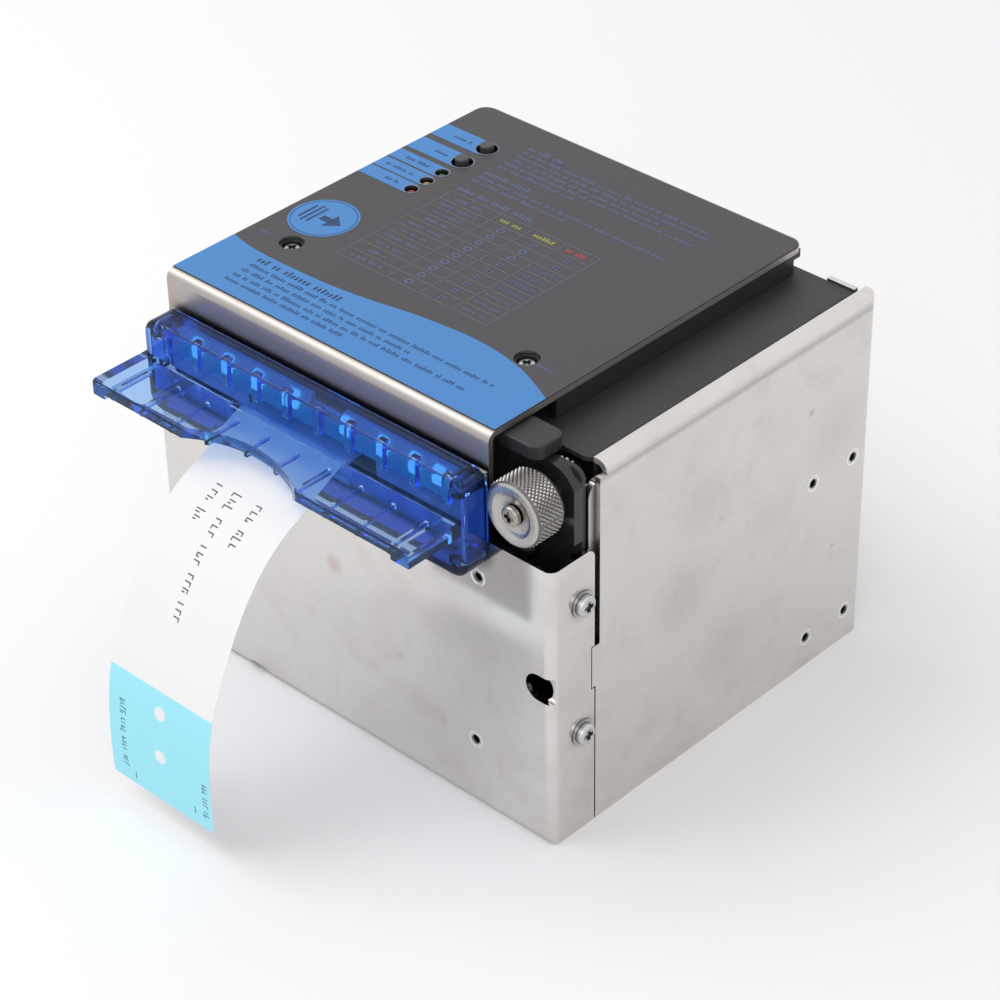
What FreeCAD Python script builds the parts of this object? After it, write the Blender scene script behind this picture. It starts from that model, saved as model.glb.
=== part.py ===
import FreeCAD, Part
import math
import os
from FreeCAD import Vector

# Ticket printer with a lighted outlet, in millimetres.
# X runs to the right, Y to the rear and Z up. The origin is on the floor under the middle of the case.
# A depth is measured from the front face of the case towards the rear.
# A drop is measured down from the top of the cover, and an inset inwards from the side of the case.

overrun = 1.0

# Case
housing_width = 136.0
housing_depth = 120.0
housing_height = 110.7
sheet = 1.5
bend_radius = 2.5
front_panel_rise = 7.6
side_panel_drop = 7.2
strip_depth = 14.9
strip_corner_radius = 2.5
panel_gap = 0.4
wide_panel_gap = 1.8
panel_clearance = 0.2
top_flange_width = 4.2
top_bend_radius = 3.0
rear_flange_width = 8.0
tab_bottom_share = 0.503
tab_height = 12.0
tab_reach = 2.65
tab_gap = 0.3
joggle_length = 2.4
joggle_clearance = 0.1
joggle_reach = 12.0
joggle_bottom_share = 0.268
joggle_top_drop = 4.5
tongue_top_drop = 3.1
joggle_corner_radius = 4.0
side_screw_depth = 10.5
side_screw_height_shares = (0.3666, 0.8331)
screw_radius = 1.5
screw_head_radius = 2.8
screw_head_height = 1.7
screw_length = 5.0
washer_radius = 3.5
washer_thickness = 0.5
screw_hole_clearance = 0.1
recess_radius_share = 0.55
recess_arm_share = 0.22
recess_depth_share = 0.5
head_round_share = 0.5
lift_slot_inset = 8.4
lift_slot_bottom_share = 0.5286
lift_slot_height = 7.6
lift_slot_wrap = 1.4
floor_slot_inset = 29.3
floor_slot_width = 4.8
floor_slot_height = 2.2
floor_slot_wrap = 2.6

# Threaded inserts pressed into the sheet
side_insert_spacing = 16.0
side_insert_spacing_share = 0.590743
side_insert_rear_gap = 15.05
side_insert_middle_share = 0.40804
insert_bore_radius = 1.25
insert_radius = 2.6
insert_length = 2.6
front_insert_inset = 25.3
front_insert_share = 0.246
upper_insert_inset = 23.4
upper_insert_share = 0.8563
upper_insert_radius = 2.1

# Rear panel
rear_panel_inset = 1.5
rear_panel_drop = 9.5
rear_tab_inset = 14.0
rear_tab_width = 8.5
rear_tab_rise = 2.0
socket_gap = 0.3

# Inner chassis
chassis_sheet = 1.2
deck_drop = 8.1
deck_front_depth = 18.8
deck_corner_cut = 1.7
deck_rear_gap = 0.1
deck_bend_radius = 1.8
deck_left_strip = 7.7
deck_right_strip = 23.7
deck_rear_strip = 10.0
chassis_foot_width = 8.0
chassis_window_length_share = 0.5
chassis_window_height_share = 0.39
chassis_window_bottom_share = 0.2924
chassis_window_depth_share = 0.3333

# Cover
cover_left_margin = 5.6
cover_right_margin = 21.1
cover_front_depth = 2.0
cover_rear_gap = 3.0
cover_sheet = 1.5
cover_bend_radius = 2.5
cover_corner_radius = 4.0
cover_flange_drop = 17.7
overlay_thickness = 0.3
overlay_front_margin = 2.3
overlay_side_margin = 0.2
overlay_rear_margin = 0.7
cover_frame_inset = 0.9
cover_frame_wall = 1.5
cover_frame_gap = 0.2
cover_frame_root = 0.75
cover_web = 1.2
cover_web_front_depth = 26.0
web_window_rear_gap = 13.0
web_window_front_depth = 46.0
web_window_margin = 2.0
cover_screw_left = 14.0
cover_screw_right = 15.3
cover_screw_depth = 31.5
cover_screw_hole_radius = 3.25
cover_bush_clearance = 0.1
cover_bush_depth = 0.5
cover_boss_radius = 4.5
cover_boss_height = 3.7
cover_screw_radius = 1.5
cover_screw_head_radius = 2.5
cover_screw_head_height = 1.6
cover_screw_recess = 2.2
hinge_rear_gap = 4.0
hinge_plate_gap = 2.9
hinge_pin_radius = 1.5
hinge_pin_clearance = 0.06
hinge_eye_radius = 2.7
hinge_bracket_width = 3.0
hinge_bracket_gap = 0.3
rear_wall_rise = 0.6

# Buttons and status lights
button_column = 17.4
feed_button_rear_gap = 18.1
button_spacing = 9.4
first_light_spacing = 7.6
light_spacing = 5.65
button_hole_radius = 2.9
button_radius = 1.9
button_round_radius = 0.475
button_proud = 1.5
button_flange_radius = 3.4
button_flange_thickness = 0.8
button_flange_drop = 0.6
button_travel = 1.0
button_tail = 1.4
switch_gap = 0.3
switch_size = 5.0
switch_root = 0.5
light_hole_radius = 1.8
light_radius = 1.5
light_recess = 0.5
light_base_radius = 1.75
button_board_width = 13.0
button_board_margin = 7.5
button_board_thickness = 1.6
button_board_room = 5.3
board_post_radius = 1.8

# Bezel
bezel_left_inset = 1.2
bezel_right_reach = 1.4
bezel_below_shelf = 17.5
bezel_above_shelf = 10.0
bezel_thickness = 8.0
bezel_wall = 1.8
bezel_front_wall = 2.0
bezel_corner_radius = 4.5
bezel_edge_radius = 1.4
boss_radius = 2.5
boss_pilot_radius = 1.0
boss_inset = 3.4
boss_side_inset = 3.9
rib_pitch = 10.6
rib_width = 1.0
rib_height = 1.2
rib_start = 3.5
rib_root = 0.6
post_width = 2.0
post_depth = 1.4
shelf_reach = 17.2
shelf_thickness = 3.0
shelf_rise = 2.4
shelf_left_gap = 0.1
shelf_right_gap = 1.0
shelf_lip_height = 4.3
shelf_lip_width = 4.2
shelf_block_width = 5.8
shelf_block_height = 4.5
shelf_front_radius = 1.0
notch_margin = 1.75
notch_depth = 6.2
outlet_height = 6.4
outlet_rise = 0.5
light_board_left_margin = 9.7
light_board_right_margin = 6.9
light_board_thickness = 1.6
light_board_gap = 2.0
light_board_top_gap = 1.9
light_board_rise = 0.6
light_board_notch_share = 0.504
light_board_notch_width = 11.0
light_board_notch_depth = 2.2
light_shares = (0.148, 0.248, 0.344, 0.458, 0.620, 0.732, 0.826, 0.897)
light_width = 2.8
light_height = 3.5
light_thickness = 0.9
light_top_gap = 2.5
bracket_sheet = 1.0
bracket_top_gap = 1.0
bracket_leg_drop = 10.5
bracket_leg_margin_share = 0.2193
bracket_side_inset = 1.0
bracket_window_drop = 5.6
bezel_screw_radius = 1.0
bezel_screw_length = 5.0
countersink_radius = 2.0

# Paper
paper_width = 36.0
paper_centre_share = -0.138235
paper_drop = 21.1
paper_thickness = 0.15
roll_front_depth = 40.0
roll_rear_gap = 10.0
roll_floor_gap = 10.0
roll_top_gap = 9.6
core_radius = 9.0
core_bore_radius = 6.35
web_gap = 0.3
slot_reach = 6.0
slot_drop = 0.6
ticket_depth_shares = (0.2822, 0.3704, 0.4938, 0.582, 0.6808, 0.776, 0.9083, 0.963, 0.9912, 1.0, 0.9965)
ticket_height_shares = (0.9494, 0.9258, 0.8876, 0.8461, 0.7798, 0.691, 0.5157, 0.4202, 0.3022, 0.1663, 0.0719)
ticket_reach = 56.7

# Paper bay
bay_side_gap = 4.0
bay_sheet = 1.5
bay_rear_gap = 8.0
bay_rise = 6.4
bay_corner_radius = 8.0
bay_foot_width = 8.0
bay_flange_width = 8.0
bay_flange_bottom_share = 0.3125
bay_flange_top_share = 0.771
spindle_radius = 6.0
spindle_slot_clearance = 0.2
spindle_overhang = 2.0
spindle_disc_radius = 16.0
spindle_disc_thickness = 1.2
spindle_disc_gap = 0.6
guide_bar_radius = 2.5
guide_bar_depth = 42.0
tie_rod_radius = 2.0
front_tie_depth = 25.0
front_tie_share = 0.3125
rear_tie_gap = 6.0
rear_tie_drop = 8.0
tie_rod_overhang = 1.2
tie_rod_neck_share = 0.6

# Platen and feed motor
platen_radius = 6.0
platen_depth = 20.0
platen_paper_gap = 0.1
platen_end_gap = 2.0
platen_shaft_radius = 2.0
shaft_fit = 0.04
bush_radius = 3.5
bush_flange_radius = 4.5
bush_flange = 0.8
platen_shaft_end = 0.8
gear_module = 0.5
gear_width = 3.0
gear_side_gap = 1.0
platen_gear_teeth = 28
motor_pinion_teeth = 12
gear_centre_clearance = 0.12
feed_motor_angle = -45.0
feed_motor_radius = 12.0
feed_motor_rim = 0.5
feed_motor_room_share = 0.5907
motor_face_gap = 1.0
motor_ear_reach = 15.5
motor_ear_radius = 2.5
motor_leg_radius = 2.0
motor_plate = 1.0
motor_root = 0.5
motor_shaft_radius = 0.75
motor_shaft_depth = 4.0
motor_bore_clearance = 0.06
tooth_root_share = 0.33
tooth_pitch_share = 0.21
tooth_tip_share = 0.10
addendum_share = 0.9
dedendum_share = 1.2

# Cutter
knob_side_margin = 10.0
knob_radius = 8.75
knob_length = 9.5
knob_face_reach = 2.5
knob_chamfer = 0.7
knob_dish_radius = 5.8
knob_dish_depth = 0.5
knob_screw_radius = 1.2
knob_screw_head_radius = 2.6
knob_screw_head_height = 1.4
knob_screw_length = 5.0
knob_shaft_radius = 2.0
knob_shaft_start = 3.0
knob_shaft_end = 1.0
cutter_pinion_teeth = 12
rack_module = 0.75
rack_width = 3.6
rack_top_margin = 2.0
rack_bottom_margin = 3.0
rack_mesh_clearance = 0.12
rack_root = 0.5
rack_room = 1.5
drive_gear_teeth = 24
drive_gear_width = 2.0
drive_gear_gap = 0.4
gear_cover_depth = 10.0
gear_cover_wall = 0.8
gear_cover_radius = 8.85
gear_cover_side = 8.0
gear_cover_left = 10.4
gear_cover_lever_gap = 0.55
gear_cover_below = 11.3
cutter_frame_depth = 13.0
cutter_frame_sheet = 1.2
cutter_frame_below = 33.6
cutter_frame_rise = 1.1
cutter_frame_left_reach = 2.1
cutter_frame_right_reach = 7.7
cutter_frame_corner_radius = 3.0
cutter_frame_notch_gap = 1.0
cutter_gap = 0.1
frame_window_below = 10.6
carrier_thickness = 1.8
carrier_height = 8.0
carrier_rest_gap = 0.6
blade_travel = 7.0
blade_thickness = 0.9
blade_rest_gap = 2.2
blade_dip = 4.0
bridge_width = 1.6
bridge_gap = 0.5
bridge_root = 0.1
slit_gap = 0.25
blade_margin = 1.2
fixed_blade_gap = 1.0
fixed_blade_height = 6.8
blade_screw_radius = 1.0
blade_screw_head_radius = 1.9
blade_screw_head_height = 0.9
blade_screw_inset = 4.0
guide_screw_radius = 2.0
guide_screw_head_radius = 3.4
guide_screw_head_height = 0.9
guide_fit = 0.08
guide_pad_margin = 3.0
low_guide_below = 4.0
side_guide_below = 2.0
side_guide_offset = 10.0
cutter_motor_radius = 8.0
cutter_motor_length = 20.0
cutter_motor_round = 1.2
cutter_motor_angle = 225.0
cutter_ear_reach = 11.0
cutter_ear_radius = 2.4

# Release lever
lever_thickness = 3.6
lever_plate_gap = 0.4
lever_bay_gap = 8.3
lever_pivot_depth = 18.5
lever_hub_radius = 4.5
lever_neck_share = 0.7
lever_pin_radius = 1.5
lever_pin_head_radius = 2.25
lever_pin_fit = 0.05
lever_bar_front = 9.0
lever_bar_rear = 15.0
lever_tab_inset = 2.3
lever_tab_reach = 10.5
lever_tab_front = 7.1
lever_tab_rear = 17.2
lever_tab_radius = 2.9
lever_tab_chamfer = 0.35
lever_nose_share = 0.5385
lever_nose_width = 6.0
lever_nose_front = 5.7
lever_nose_thickness = 2.1
lever_nose_root = 1.0
ledge_overlap = 2.0
ledge_thickness = 1.2
ledge_gap = 0.5
ledge_side_margin = 1.0
lever_notch_front = 5.0
lever_notch_rear = 26.0
lever_flange_width = 12.0
lever_flange_depth = 24.0
lever_spring_room = 1.4
lever_spring_radius = 4.0
lever_spring_sheet = 0.4
lever_spring_fit = 0.15
spring_end_gap = 0.08

# Print head
head_front_depth = 17.0
head_depth = 10.0
head_end_gap = 2.0
head_paper_gap = 0.15
head_plate_thickness = 1.0
head_room_share = 0.437
head_fin_count = 5
head_fin_gap = 1.6
head_fin_depth_share = 0.46
head_stud_radius = 1.1
head_stud_inset = 6.0
head_stud_fit = 0.1
head_stud_proud = 0.5
head_bracket_sheet = 1.2
head_bracket_overhang = 5.5
head_bracket_lap = 3.0
head_spring_reach = 5.5
head_spring_width = 5.0
head_spring_sheet = 0.5

# Main board and sockets
board_thickness = 1.6
board_height = 9.0
board_left_gap = 3.5
board_right_gap = 2.5
board_front_depth = 30.0
board_rear_gap = 1.0
standoff_radius = 2.5
standoff_inset = 7.5
standoff_head = 1.0
part_root = 0.5
chip_size = 12.0
chip_height = 2.0
capacitor_radius = 4.0
capacitor_height = 12.0
data_socket_left_share = 0.1418
data_socket_width_share = 0.2837
data_socket_height = 11.0
data_socket_length = 16.0
data_tongue_share = 0.25
power_socket_left_share = 0.6147
power_socket_width_share = 0.331
power_socket_height = 12.0
power_socket_length = 14.0
socket_proud = 1.0
socket_wall = 0.5
socket_recess = 1.0
power_pin_radius = 1.2
power_pin_share = 0.25

# Values worked out from the ones above
front = -housing_depth / 2
rear = housing_depth / 2
side = housing_width / 2
cover_top = housing_height
plate_top = cover_top - overlay_thickness
plate_bottom = plate_top - cover_sheet
web_bottom = plate_bottom - cover_web
cover_flange_bottom = cover_top - cover_flange_drop
cover_left = -side + cover_left_margin
cover_right = side - cover_right_margin
cover_middle = (cover_left + cover_right) / 2
cover_width = cover_right - cover_left
cover_rear_depth = housing_depth - cover_rear_gap
overlay_left = cover_left + overlay_side_margin
overlay_right = cover_right - overlay_side_margin
web_window_rear_depth = cover_rear_depth - web_window_rear_gap
cover_screw_x = (cover_left + cover_screw_left, cover_right - cover_screw_right)
cover_screw_y = front + cover_screw_depth
hinge_y = front + cover_rear_depth - hinge_rear_gap
hinge_height = plate_bottom - hinge_plate_gap
rear_wall_bottom = hinge_height + rear_wall_rise
button_x = cover_left + button_column
feed_button_depth = cover_rear_depth - feed_button_rear_gap
cut_button_depth = feed_button_depth - button_spacing
green_light_depth = cut_button_depth - first_light_spacing
yellow_light_depth = green_light_depth - light_spacing
red_light_depth = yellow_light_depth - light_spacing
button_board_height = plate_bottom - button_board_room - button_board_thickness

paper_height = housing_height - paper_drop
paper_centre = side * paper_centre_share
paper_left = paper_centre - paper_width / 2
paper_right = paper_centre + paper_width / 2
shelf_top = paper_height + shelf_rise
slot_height = paper_height - slot_drop
bezel_left = cover_left + bezel_left_inset
bezel_right = cover_right + bezel_right_reach
bezel_width = bezel_right - bezel_left
bezel_front = front - bezel_thickness
bezel_bottom = shelf_top - bezel_below_shelf
bezel_top = shelf_top + bezel_above_shelf
notch_width = paper_width + 2 * notch_margin
light_board_bottom = shelf_top + light_board_rise
light_bottom = bezel_top - light_top_gap - light_height
bracket_top = bezel_top - bracket_top_gap
bracket_leg_bottom = bezel_bottom - bracket_leg_drop
bracket_leg_margin = bezel_width * bracket_leg_margin_share
bracket_window_bottom = paper_height - bracket_window_drop

front_panel_height = bezel_bottom + front_panel_rise
side_panel_height = housing_height - side_panel_drop
tab_bottom = front_panel_height * tab_bottom_share
joggle_bottom = front_panel_height * joggle_bottom_share
joggle_top = side_panel_height - joggle_top_drop
tongue_top = front_panel_height - tongue_top_drop
lift_slot_left = side - lift_slot_inset
lift_slot_bottom = front_panel_height * lift_slot_bottom_share
floor_slot_left = -side + floor_slot_inset
rear_panel_height = housing_height - rear_panel_drop
deck_top = housing_height - deck_drop

bay_left = paper_left - bay_side_gap
bay_right = paper_right + bay_side_gap
bay_rear_depth = housing_depth - bay_rear_gap
bay_top = paper_height + bay_rise
roll_room_depth = housing_depth - roll_rear_gap - roll_front_depth
roll_room_height = paper_height - roll_top_gap - roll_floor_gap
roll_radius = min(roll_room_depth, roll_room_height) / 2
roll_depth = housing_depth - roll_rear_gap - roll_radius
roll_height = roll_floor_gap + roll_radius
platen_y = front + platen_depth
platen_height = paper_height - platen_paper_gap - platen_radius
pinion_radius = cutter_pinion_teeth * rack_module / 2
drive_radius = drive_gear_teeth * gear_module / 2
motor_pinion_radius = motor_pinion_teeth * gear_module / 2
platen_gear_radius = platen_gear_teeth * gear_module / 2

lever_bottom = plate_bottom - lever_plate_gap - lever_thickness
lever_top = lever_bottom + lever_thickness
lever_x = bay_right + lever_bay_gap
lever_y = front + lever_pivot_depth
lever_nose_left = lever_x + (cover_right - lever_x) * lever_nose_share
knob_x = side - knob_side_margin
knob_height = lever_bottom - gear_cover_lever_gap - gear_cover_radius
knob_front = front - knob_face_reach
gear_cover_bottom = knob_height - gear_cover_below
fixed_blade_bottom = paper_height + fixed_blade_gap
fixed_blade_top = fixed_blade_bottom + fixed_blade_height
cutter_frame_bottom = paper_height - cutter_frame_below
cutter_frame_top = fixed_blade_top + cutter_frame_rise
cutter_frame_right_top = lever_bottom - lever_spring_room
frame_window_bottom = paper_height - frame_window_below
carrier_top = paper_height - blade_travel - carrier_rest_gap
carrier_bottom = carrier_top - carrier_height
blade_top = paper_height - blade_rest_gap
low_guide_height = carrier_bottom - low_guide_below
side_guide_height = carrier_top - side_guide_below
carrier_rear = front + cutter_frame_depth - cutter_gap
carrier_front = carrier_rear - carrier_thickness
blade_front = carrier_front - blade_thickness
frame_front = front + cutter_frame_depth
frame_rear = frame_front + cutter_frame_sheet
drive_front = frame_rear + drive_gear_gap


def block(x0, x1, y0, y1, z0, z1):
    return Part.makeBox(x1 - x0, y1 - y0, z1 - z0, Vector(x0, y0, z0))


def rod_x(x0, x1, y, z, radius):
    return Part.makeCylinder(radius, x1 - x0, Vector(x0, y, z), Vector(1, 0, 0))


def rod_y(y0, y1, x, z, radius):
    return Part.makeCylinder(radius, y1 - y0, Vector(x, y0, z), Vector(0, 1, 0))


def rod_z(z0, z1, x, y, radius):
    return Part.makeCylinder(radius, z1 - z0, Vector(x, y, z0), Vector(0, 0, 1))


def join(shapes):
    if len(shapes) == 1:
        return shapes[0]
    return shapes[0].multiFuse(shapes[1:]).removeSplitter()


def remove(shape, tools):
    return shape.cut(Part.makeCompound(tools))


def group(shapes):
    return Part.makeCompound(shapes)


def prism(points, direction):
    closed = list(points) + [points[0]]
    return Part.Face(Part.makePolygon(closed)).extrude(direction)


def prism_y(points, y0, y1):
    return prism([Vector(x, y0, z) for x, z in points], Vector(0, y1 - y0, 0))


def prism_z(points, z0, z1):
    return prism([Vector(x, y, z0) for x, y in points], Vector(0, 0, z1 - z0))


def rounded_block(x0, x1, y0, y1, z0, z1, radius, picked):
    # A block with some of its edges rounded, picked by a test on the middle of each edge.
    shape = block(x0, x1, y0, y1, z0, z1)
    edges = [edge for edge in shape.Edges if picked(edge.CenterOfMass)]
    return shape.makeFillet(radius, edges)


def mirrored(shape):
    return shape.mirror(Vector(0, 0, 0), Vector(1, 0, 0))


def cross_recess(x, y, z, direction, head_radius, head_height):
    # The cross in a screw head, cut from the outer face inwards.
    arm = head_radius * recess_radius_share
    half = head_radius * recess_arm_share
    depth = head_height * recess_depth_share
    long_arm = Part.makeBox(arm + arm, half + half, depth, Vector(-arm, -half, -depth))
    wide_arm = Part.makeBox(half + half, arm + arm, depth, Vector(-half, -arm, -depth))
    cross = long_arm.fuse(wide_arm)
    cross.Placement = FreeCAD.Placement(Vector(x, y, z), FreeCAD.Rotation(Vector(0, 0, 1), direction))
    return cross


def pan_screw(x, y, z, direction, radius, length, head_radius, head_height, washer=None):
    # The point given is on the seat under the head, and the direction runs from the thread to the head.
    out = Vector(direction)
    seat = Vector(x, y, z)
    parts = [Part.makeCylinder(radius, length, seat, out * -1)]
    base = seat
    if washer:
        parts.append(Part.makeCylinder(washer_radius, washer_thickness, seat, out))
        base = seat + out * washer_thickness
    head = Part.makeCylinder(head_radius, head_height, base, out)
    top = base + out * head_height
    rim = [edge for edge in head.Edges if edge.Closed and (edge.CenterOfMass - top).Length < head_height / 4]
    head = head.makeFillet(head_height * head_round_share, rim)
    parts.append(head)
    screw = join(parts)
    return screw.cut(cross_recess(top.x, top.y, top.z, out, head_radius, head_height))


def gear_outline(teeth, module, turn):
    # Points round a spur gear of straight-flanked teeth, the first tooth pointing at the turn angle.
    pitch_radius = teeth * module / 2
    tip = pitch_radius + module * addendum_share
    root = pitch_radius - module * dedendum_share
    step = 2 * math.pi / teeth
    points = []
    for tooth in range(teeth):
        middle = math.radians(turn) + tooth * step
        for radius, share in ((root, -tooth_root_share), (pitch_radius, -tooth_pitch_share),
                              (tip, -tooth_tip_share), (tip, tooth_tip_share),
                              (pitch_radius, tooth_pitch_share), (root, tooth_root_share)):
            angle = middle + share * step
            points.append((radius * math.cos(angle), radius * math.sin(angle)))
    return points


def gear_y(x, y0, width, z, teeth, module, bore, turn):
    # A gear on an axis along Y, seen from the front with the turn measured from +X towards +Z.
    outline = [(x + a, z + b) for a, b in gear_outline(teeth, module, turn)]
    gear = prism_y(outline, y0, y0 + width)
    return gear.cut(rod_y(y0 - overrun, y0 + width + overrun, x, z, bore)) if bore else gear


def gear_x(x0, width, y, z, teeth, module, bore, turn):
    # A gear on an axis along X, with the turn measured from +Y towards +Z.
    outline = [Vector(x0, y + a, z + b) for a, b in gear_outline(teeth, module, turn)]
    gear = prism(outline, Vector(width, 0, 0))
    return gear.cut(rod_x(x0 - overrun, x0 + width + overrun, y, z, bore)) if bore else gear


def side_screw_places():
    return [(front + side_screw_depth, front_panel_height * share) for share in side_screw_height_shares]


def side_insert_places():
    middle_y = rear - side_insert_rear_gap
    places = []
    for sign in (-1, 1):
        for share in (-side_insert_spacing_share / 2, side_insert_spacing_share / 2):
            places.append((middle_y + sign * side_insert_spacing / 2,
                           front_panel_height * (side_insert_middle_share + share)))
    return places


def bezel_screw_places():
    left = bezel_left + boss_inset
    right = bezel_right - boss_side_inset
    low = bezel_bottom + boss_inset
    high = bezel_top - boss_inset
    return [(left, high), (right, high), (left, low), (right, low)]


def front_housing():
    # Front panel, side strips and floor, bent from one sheet.
    shell = rounded_block(-side, side, front, rear, 0, front_panel_height, bend_radius,
                          lambda p: p.y < front + sheet and (abs(p.x) > side - sheet or p.z < sheet))
    room = rounded_block(-side + sheet, side - sheet, front + sheet, rear + overrun, sheet,
                         front_panel_height + overrun, bend_radius - sheet,
                         lambda p: p.y < front + 2 * sheet
                         and (abs(p.x) > side - 2 * sheet or p.z < 2 * sheet))
    panel = shell.cut(room)
    strip_rear = front + strip_depth
    floor_side = side - sheet - panel_clearance
    cuts = []
    for x0, x1 in ((-side - overrun, -floor_side), (floor_side, side + overrun)):
        cuts.append(block(x0, x1, strip_rear, rear + overrun, -overrun, front_panel_height + overrun))
        corner = block(x0, x1, strip_rear - strip_corner_radius, strip_rear + overrun,
                       front_panel_height - strip_corner_radius, front_panel_height + overrun)
        cuts.append(corner.cut(rod_x(x0, x1, strip_rear - strip_corner_radius,
                                     front_panel_height - strip_corner_radius, strip_corner_radius)))
        cuts.append(block(x0, x1, front + strip_depth + wide_panel_gap - tab_reach - tab_gap,
                          strip_rear + overrun, tab_bottom - tab_gap, tab_bottom + tab_height + tab_gap))
        for y, z in side_screw_places():
            cuts.append(rod_x(x0, x1, y, z, screw_radius + screw_hole_clearance))
    cuts.append(block(-floor_side, floor_side, rear - rear_panel_inset - sheet - panel_clearance,
                      rear + overrun, -overrun, sheet + overrun))
    y0, y1 = front - overrun, front + sheet + overrun
    for x, z, _ in front_insert_places():
        cuts.append(rod_y(y0, y1, x, z, insert_bore_radius + screw_hole_clearance))
    for x, z in bezel_screw_places()[2:]:
        cuts.append(rod_y(y0, y1, x, z, countersink_radius))
    slot_radius = lift_slot_height / 2
    slot_top = lift_slot_bottom + lift_slot_height
    cuts.append(rod_y(y0, y1, lift_slot_left + slot_radius, lift_slot_bottom + slot_radius, slot_radius))
    cuts.append(block(lift_slot_left + slot_radius, side - bend_radius, y0, y1, lift_slot_bottom, slot_top))
    cuts.append(block(side - bend_radius, side + overrun, y0, front + lift_slot_wrap, lift_slot_bottom,
                      slot_top))
    cuts.append(block(floor_slot_left, floor_slot_left + floor_slot_width, y0, front + floor_slot_wrap,
                      -overrun, floor_slot_height))
    return remove(panel, cuts)


def front_insert_places():
    # X, height and outer radius of each insert in the front panel.
    low = front_panel_height * front_insert_share
    high = front_panel_height * upper_insert_share
    places = []
    for sign in (-1, 1):
        places.append((sign * (side - front_insert_inset), low, insert_radius))
        places.append((sign * (side - upper_insert_inset), high, upper_insert_radius))
    return places


def right_side_panel():
    # Side sheet with a flange in along the top, a return at the rear and a joggled tongue at the front.
    inside = side - sheet
    panel_front = front + strip_depth + panel_gap
    wide_front = front + strip_depth + wide_panel_gap
    top = side_panel_height
    outline = rounded_block(side - rear_flange_width, side, panel_front, rear, 0, top, top_bend_radius,
                            lambda p: p.x > side - sheet and (p.z > top - sheet or p.y > rear - sheet))
    cut_left = side - rear_flange_width - overrun
    room = rounded_block(cut_left, inside, panel_front - overrun, rear - sheet, -overrun, top - sheet,
                         top_bend_radius - sheet,
                         lambda p: p.x > inside - sheet / 2
                         and (p.z > top - 2 * sheet or p.y > rear - 2 * sheet))
    panel = outline.cut(room)
    tongue_side = inside - joggle_clearance
    tongue_inside = tongue_side - sheet
    flange_left = side - top_flange_width
    flange_rear = rear - sheet - panel_clearance
    cut_bottom = top - top_bend_radius
    cut_top = top + overrun
    cut_right = side + overrun
    tab_top = tab_bottom + tab_height
    joggle_rear = wide_front + joggle_length
    cuts = [block(cut_left, flange_left, panel_front - overrun, flange_rear, top - 2 * sheet, cut_top),
            block(cut_left, cut_right, panel_front - overrun, wide_front, tab_top, cut_top),
            block(cut_left, flange_left, flange_rear - overrun, rear + overrun, cut_bottom, cut_top),
            block(cut_left, cut_right, wide_front - overrun, joggle_rear, cut_bottom, cut_top)]
    for y, z in side_insert_places():
        cuts.append(rod_x(inside - overrun, side + overrun, y, z, insert_bore_radius + screw_hole_clearance))
    panel = remove(panel, cuts)
    tab = block(inside, side, wide_front - tab_reach, wide_front + overrun, tab_bottom, tab_top)
    joggle = block(tongue_inside, side - sheet / 2, wide_front, joggle_rear, joggle_bottom, joggle_top)
    tongue_middle = (tongue_inside + tongue_side) / 2
    tongue = rounded_block(tongue_inside, tongue_side, wide_front - joggle_reach, joggle_rear, joggle_bottom,
                           tongue_top, joggle_corner_radius,
                           lambda p: p.y < wide_front - joggle_reach / 2
                           and abs(p.x - tongue_middle) < sheet / 4)
    upper = rounded_block(tongue_inside, tongue_side, frame_rear + tab_gap, joggle_rear, tongue_top - overrun,
                          joggle_top, joggle_corner_radius,
                          lambda p: p.y < frame_rear + 2 * tab_gap and p.z > joggle_top - overrun)
    tongue = remove(tongue, [rod_x(tongue_inside - overrun, tongue_side + overrun, y, z,
                                   screw_radius + screw_hole_clearance) for y, z in side_screw_places()])
    return join([panel, tab, joggle, tongue, upper])


def side_screws():
    screws = []
    for y, z in side_screw_places():
        screw = pan_screw(side, y, z, (1, 0, 0), screw_radius, screw_length, screw_head_radius,
                          screw_head_height, washer=True)
        screws += [screw, mirrored(screw)]
    return group(screws)


def threaded_inserts():
    inserts = []
    for y, z in side_insert_places():
        insert = rod_x(side - sheet - insert_length, side - sheet, y, z, insert_radius)
        insert = insert.cut(rod_x(side - sheet - insert_length - overrun, side, y, z, insert_bore_radius))
        inserts += [insert, mirrored(insert)]
    for x, z, radius in front_insert_places():
        insert = rod_y(front + sheet, front + sheet + insert_length, x, z, radius)
        bore = rod_y(front, front + sheet + insert_length + overrun, x, z, insert_bore_radius)
        inserts.append(insert.cut(bore))
    return group(inserts)


def socket_openings():
    # Left edge, width and height of each socket above the main board.
    left, right = board_span()[:2]
    width = right - left
    return [(left + width * data_socket_left_share, width * data_socket_width_share, data_socket_height),
            (left + width * power_socket_left_share, width * power_socket_width_share, power_socket_height)]


def rear_panel():
    panel_rear = rear - rear_panel_inset
    panel_front = panel_rear - sheet
    half = side - top_bend_radius - panel_clearance
    panel = block(-half, half, panel_front, panel_rear, 0, rear_panel_height)
    tab_left = side - rear_tab_inset
    tab = block(tab_left, tab_left + rear_tab_width, panel_front, panel_rear, rear_panel_height - overrun,
                rear_panel_height + rear_tab_rise)
    panel = panel.fuse(tab)
    board_top = board_height + board_thickness
    cuts = [block(x - socket_gap, x + width + socket_gap, panel_front - overrun, panel_rear + overrun,
                  board_top - socket_gap, board_top + height + socket_gap)
            for x, width, height in socket_openings()]
    return remove(panel, cuts)


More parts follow.
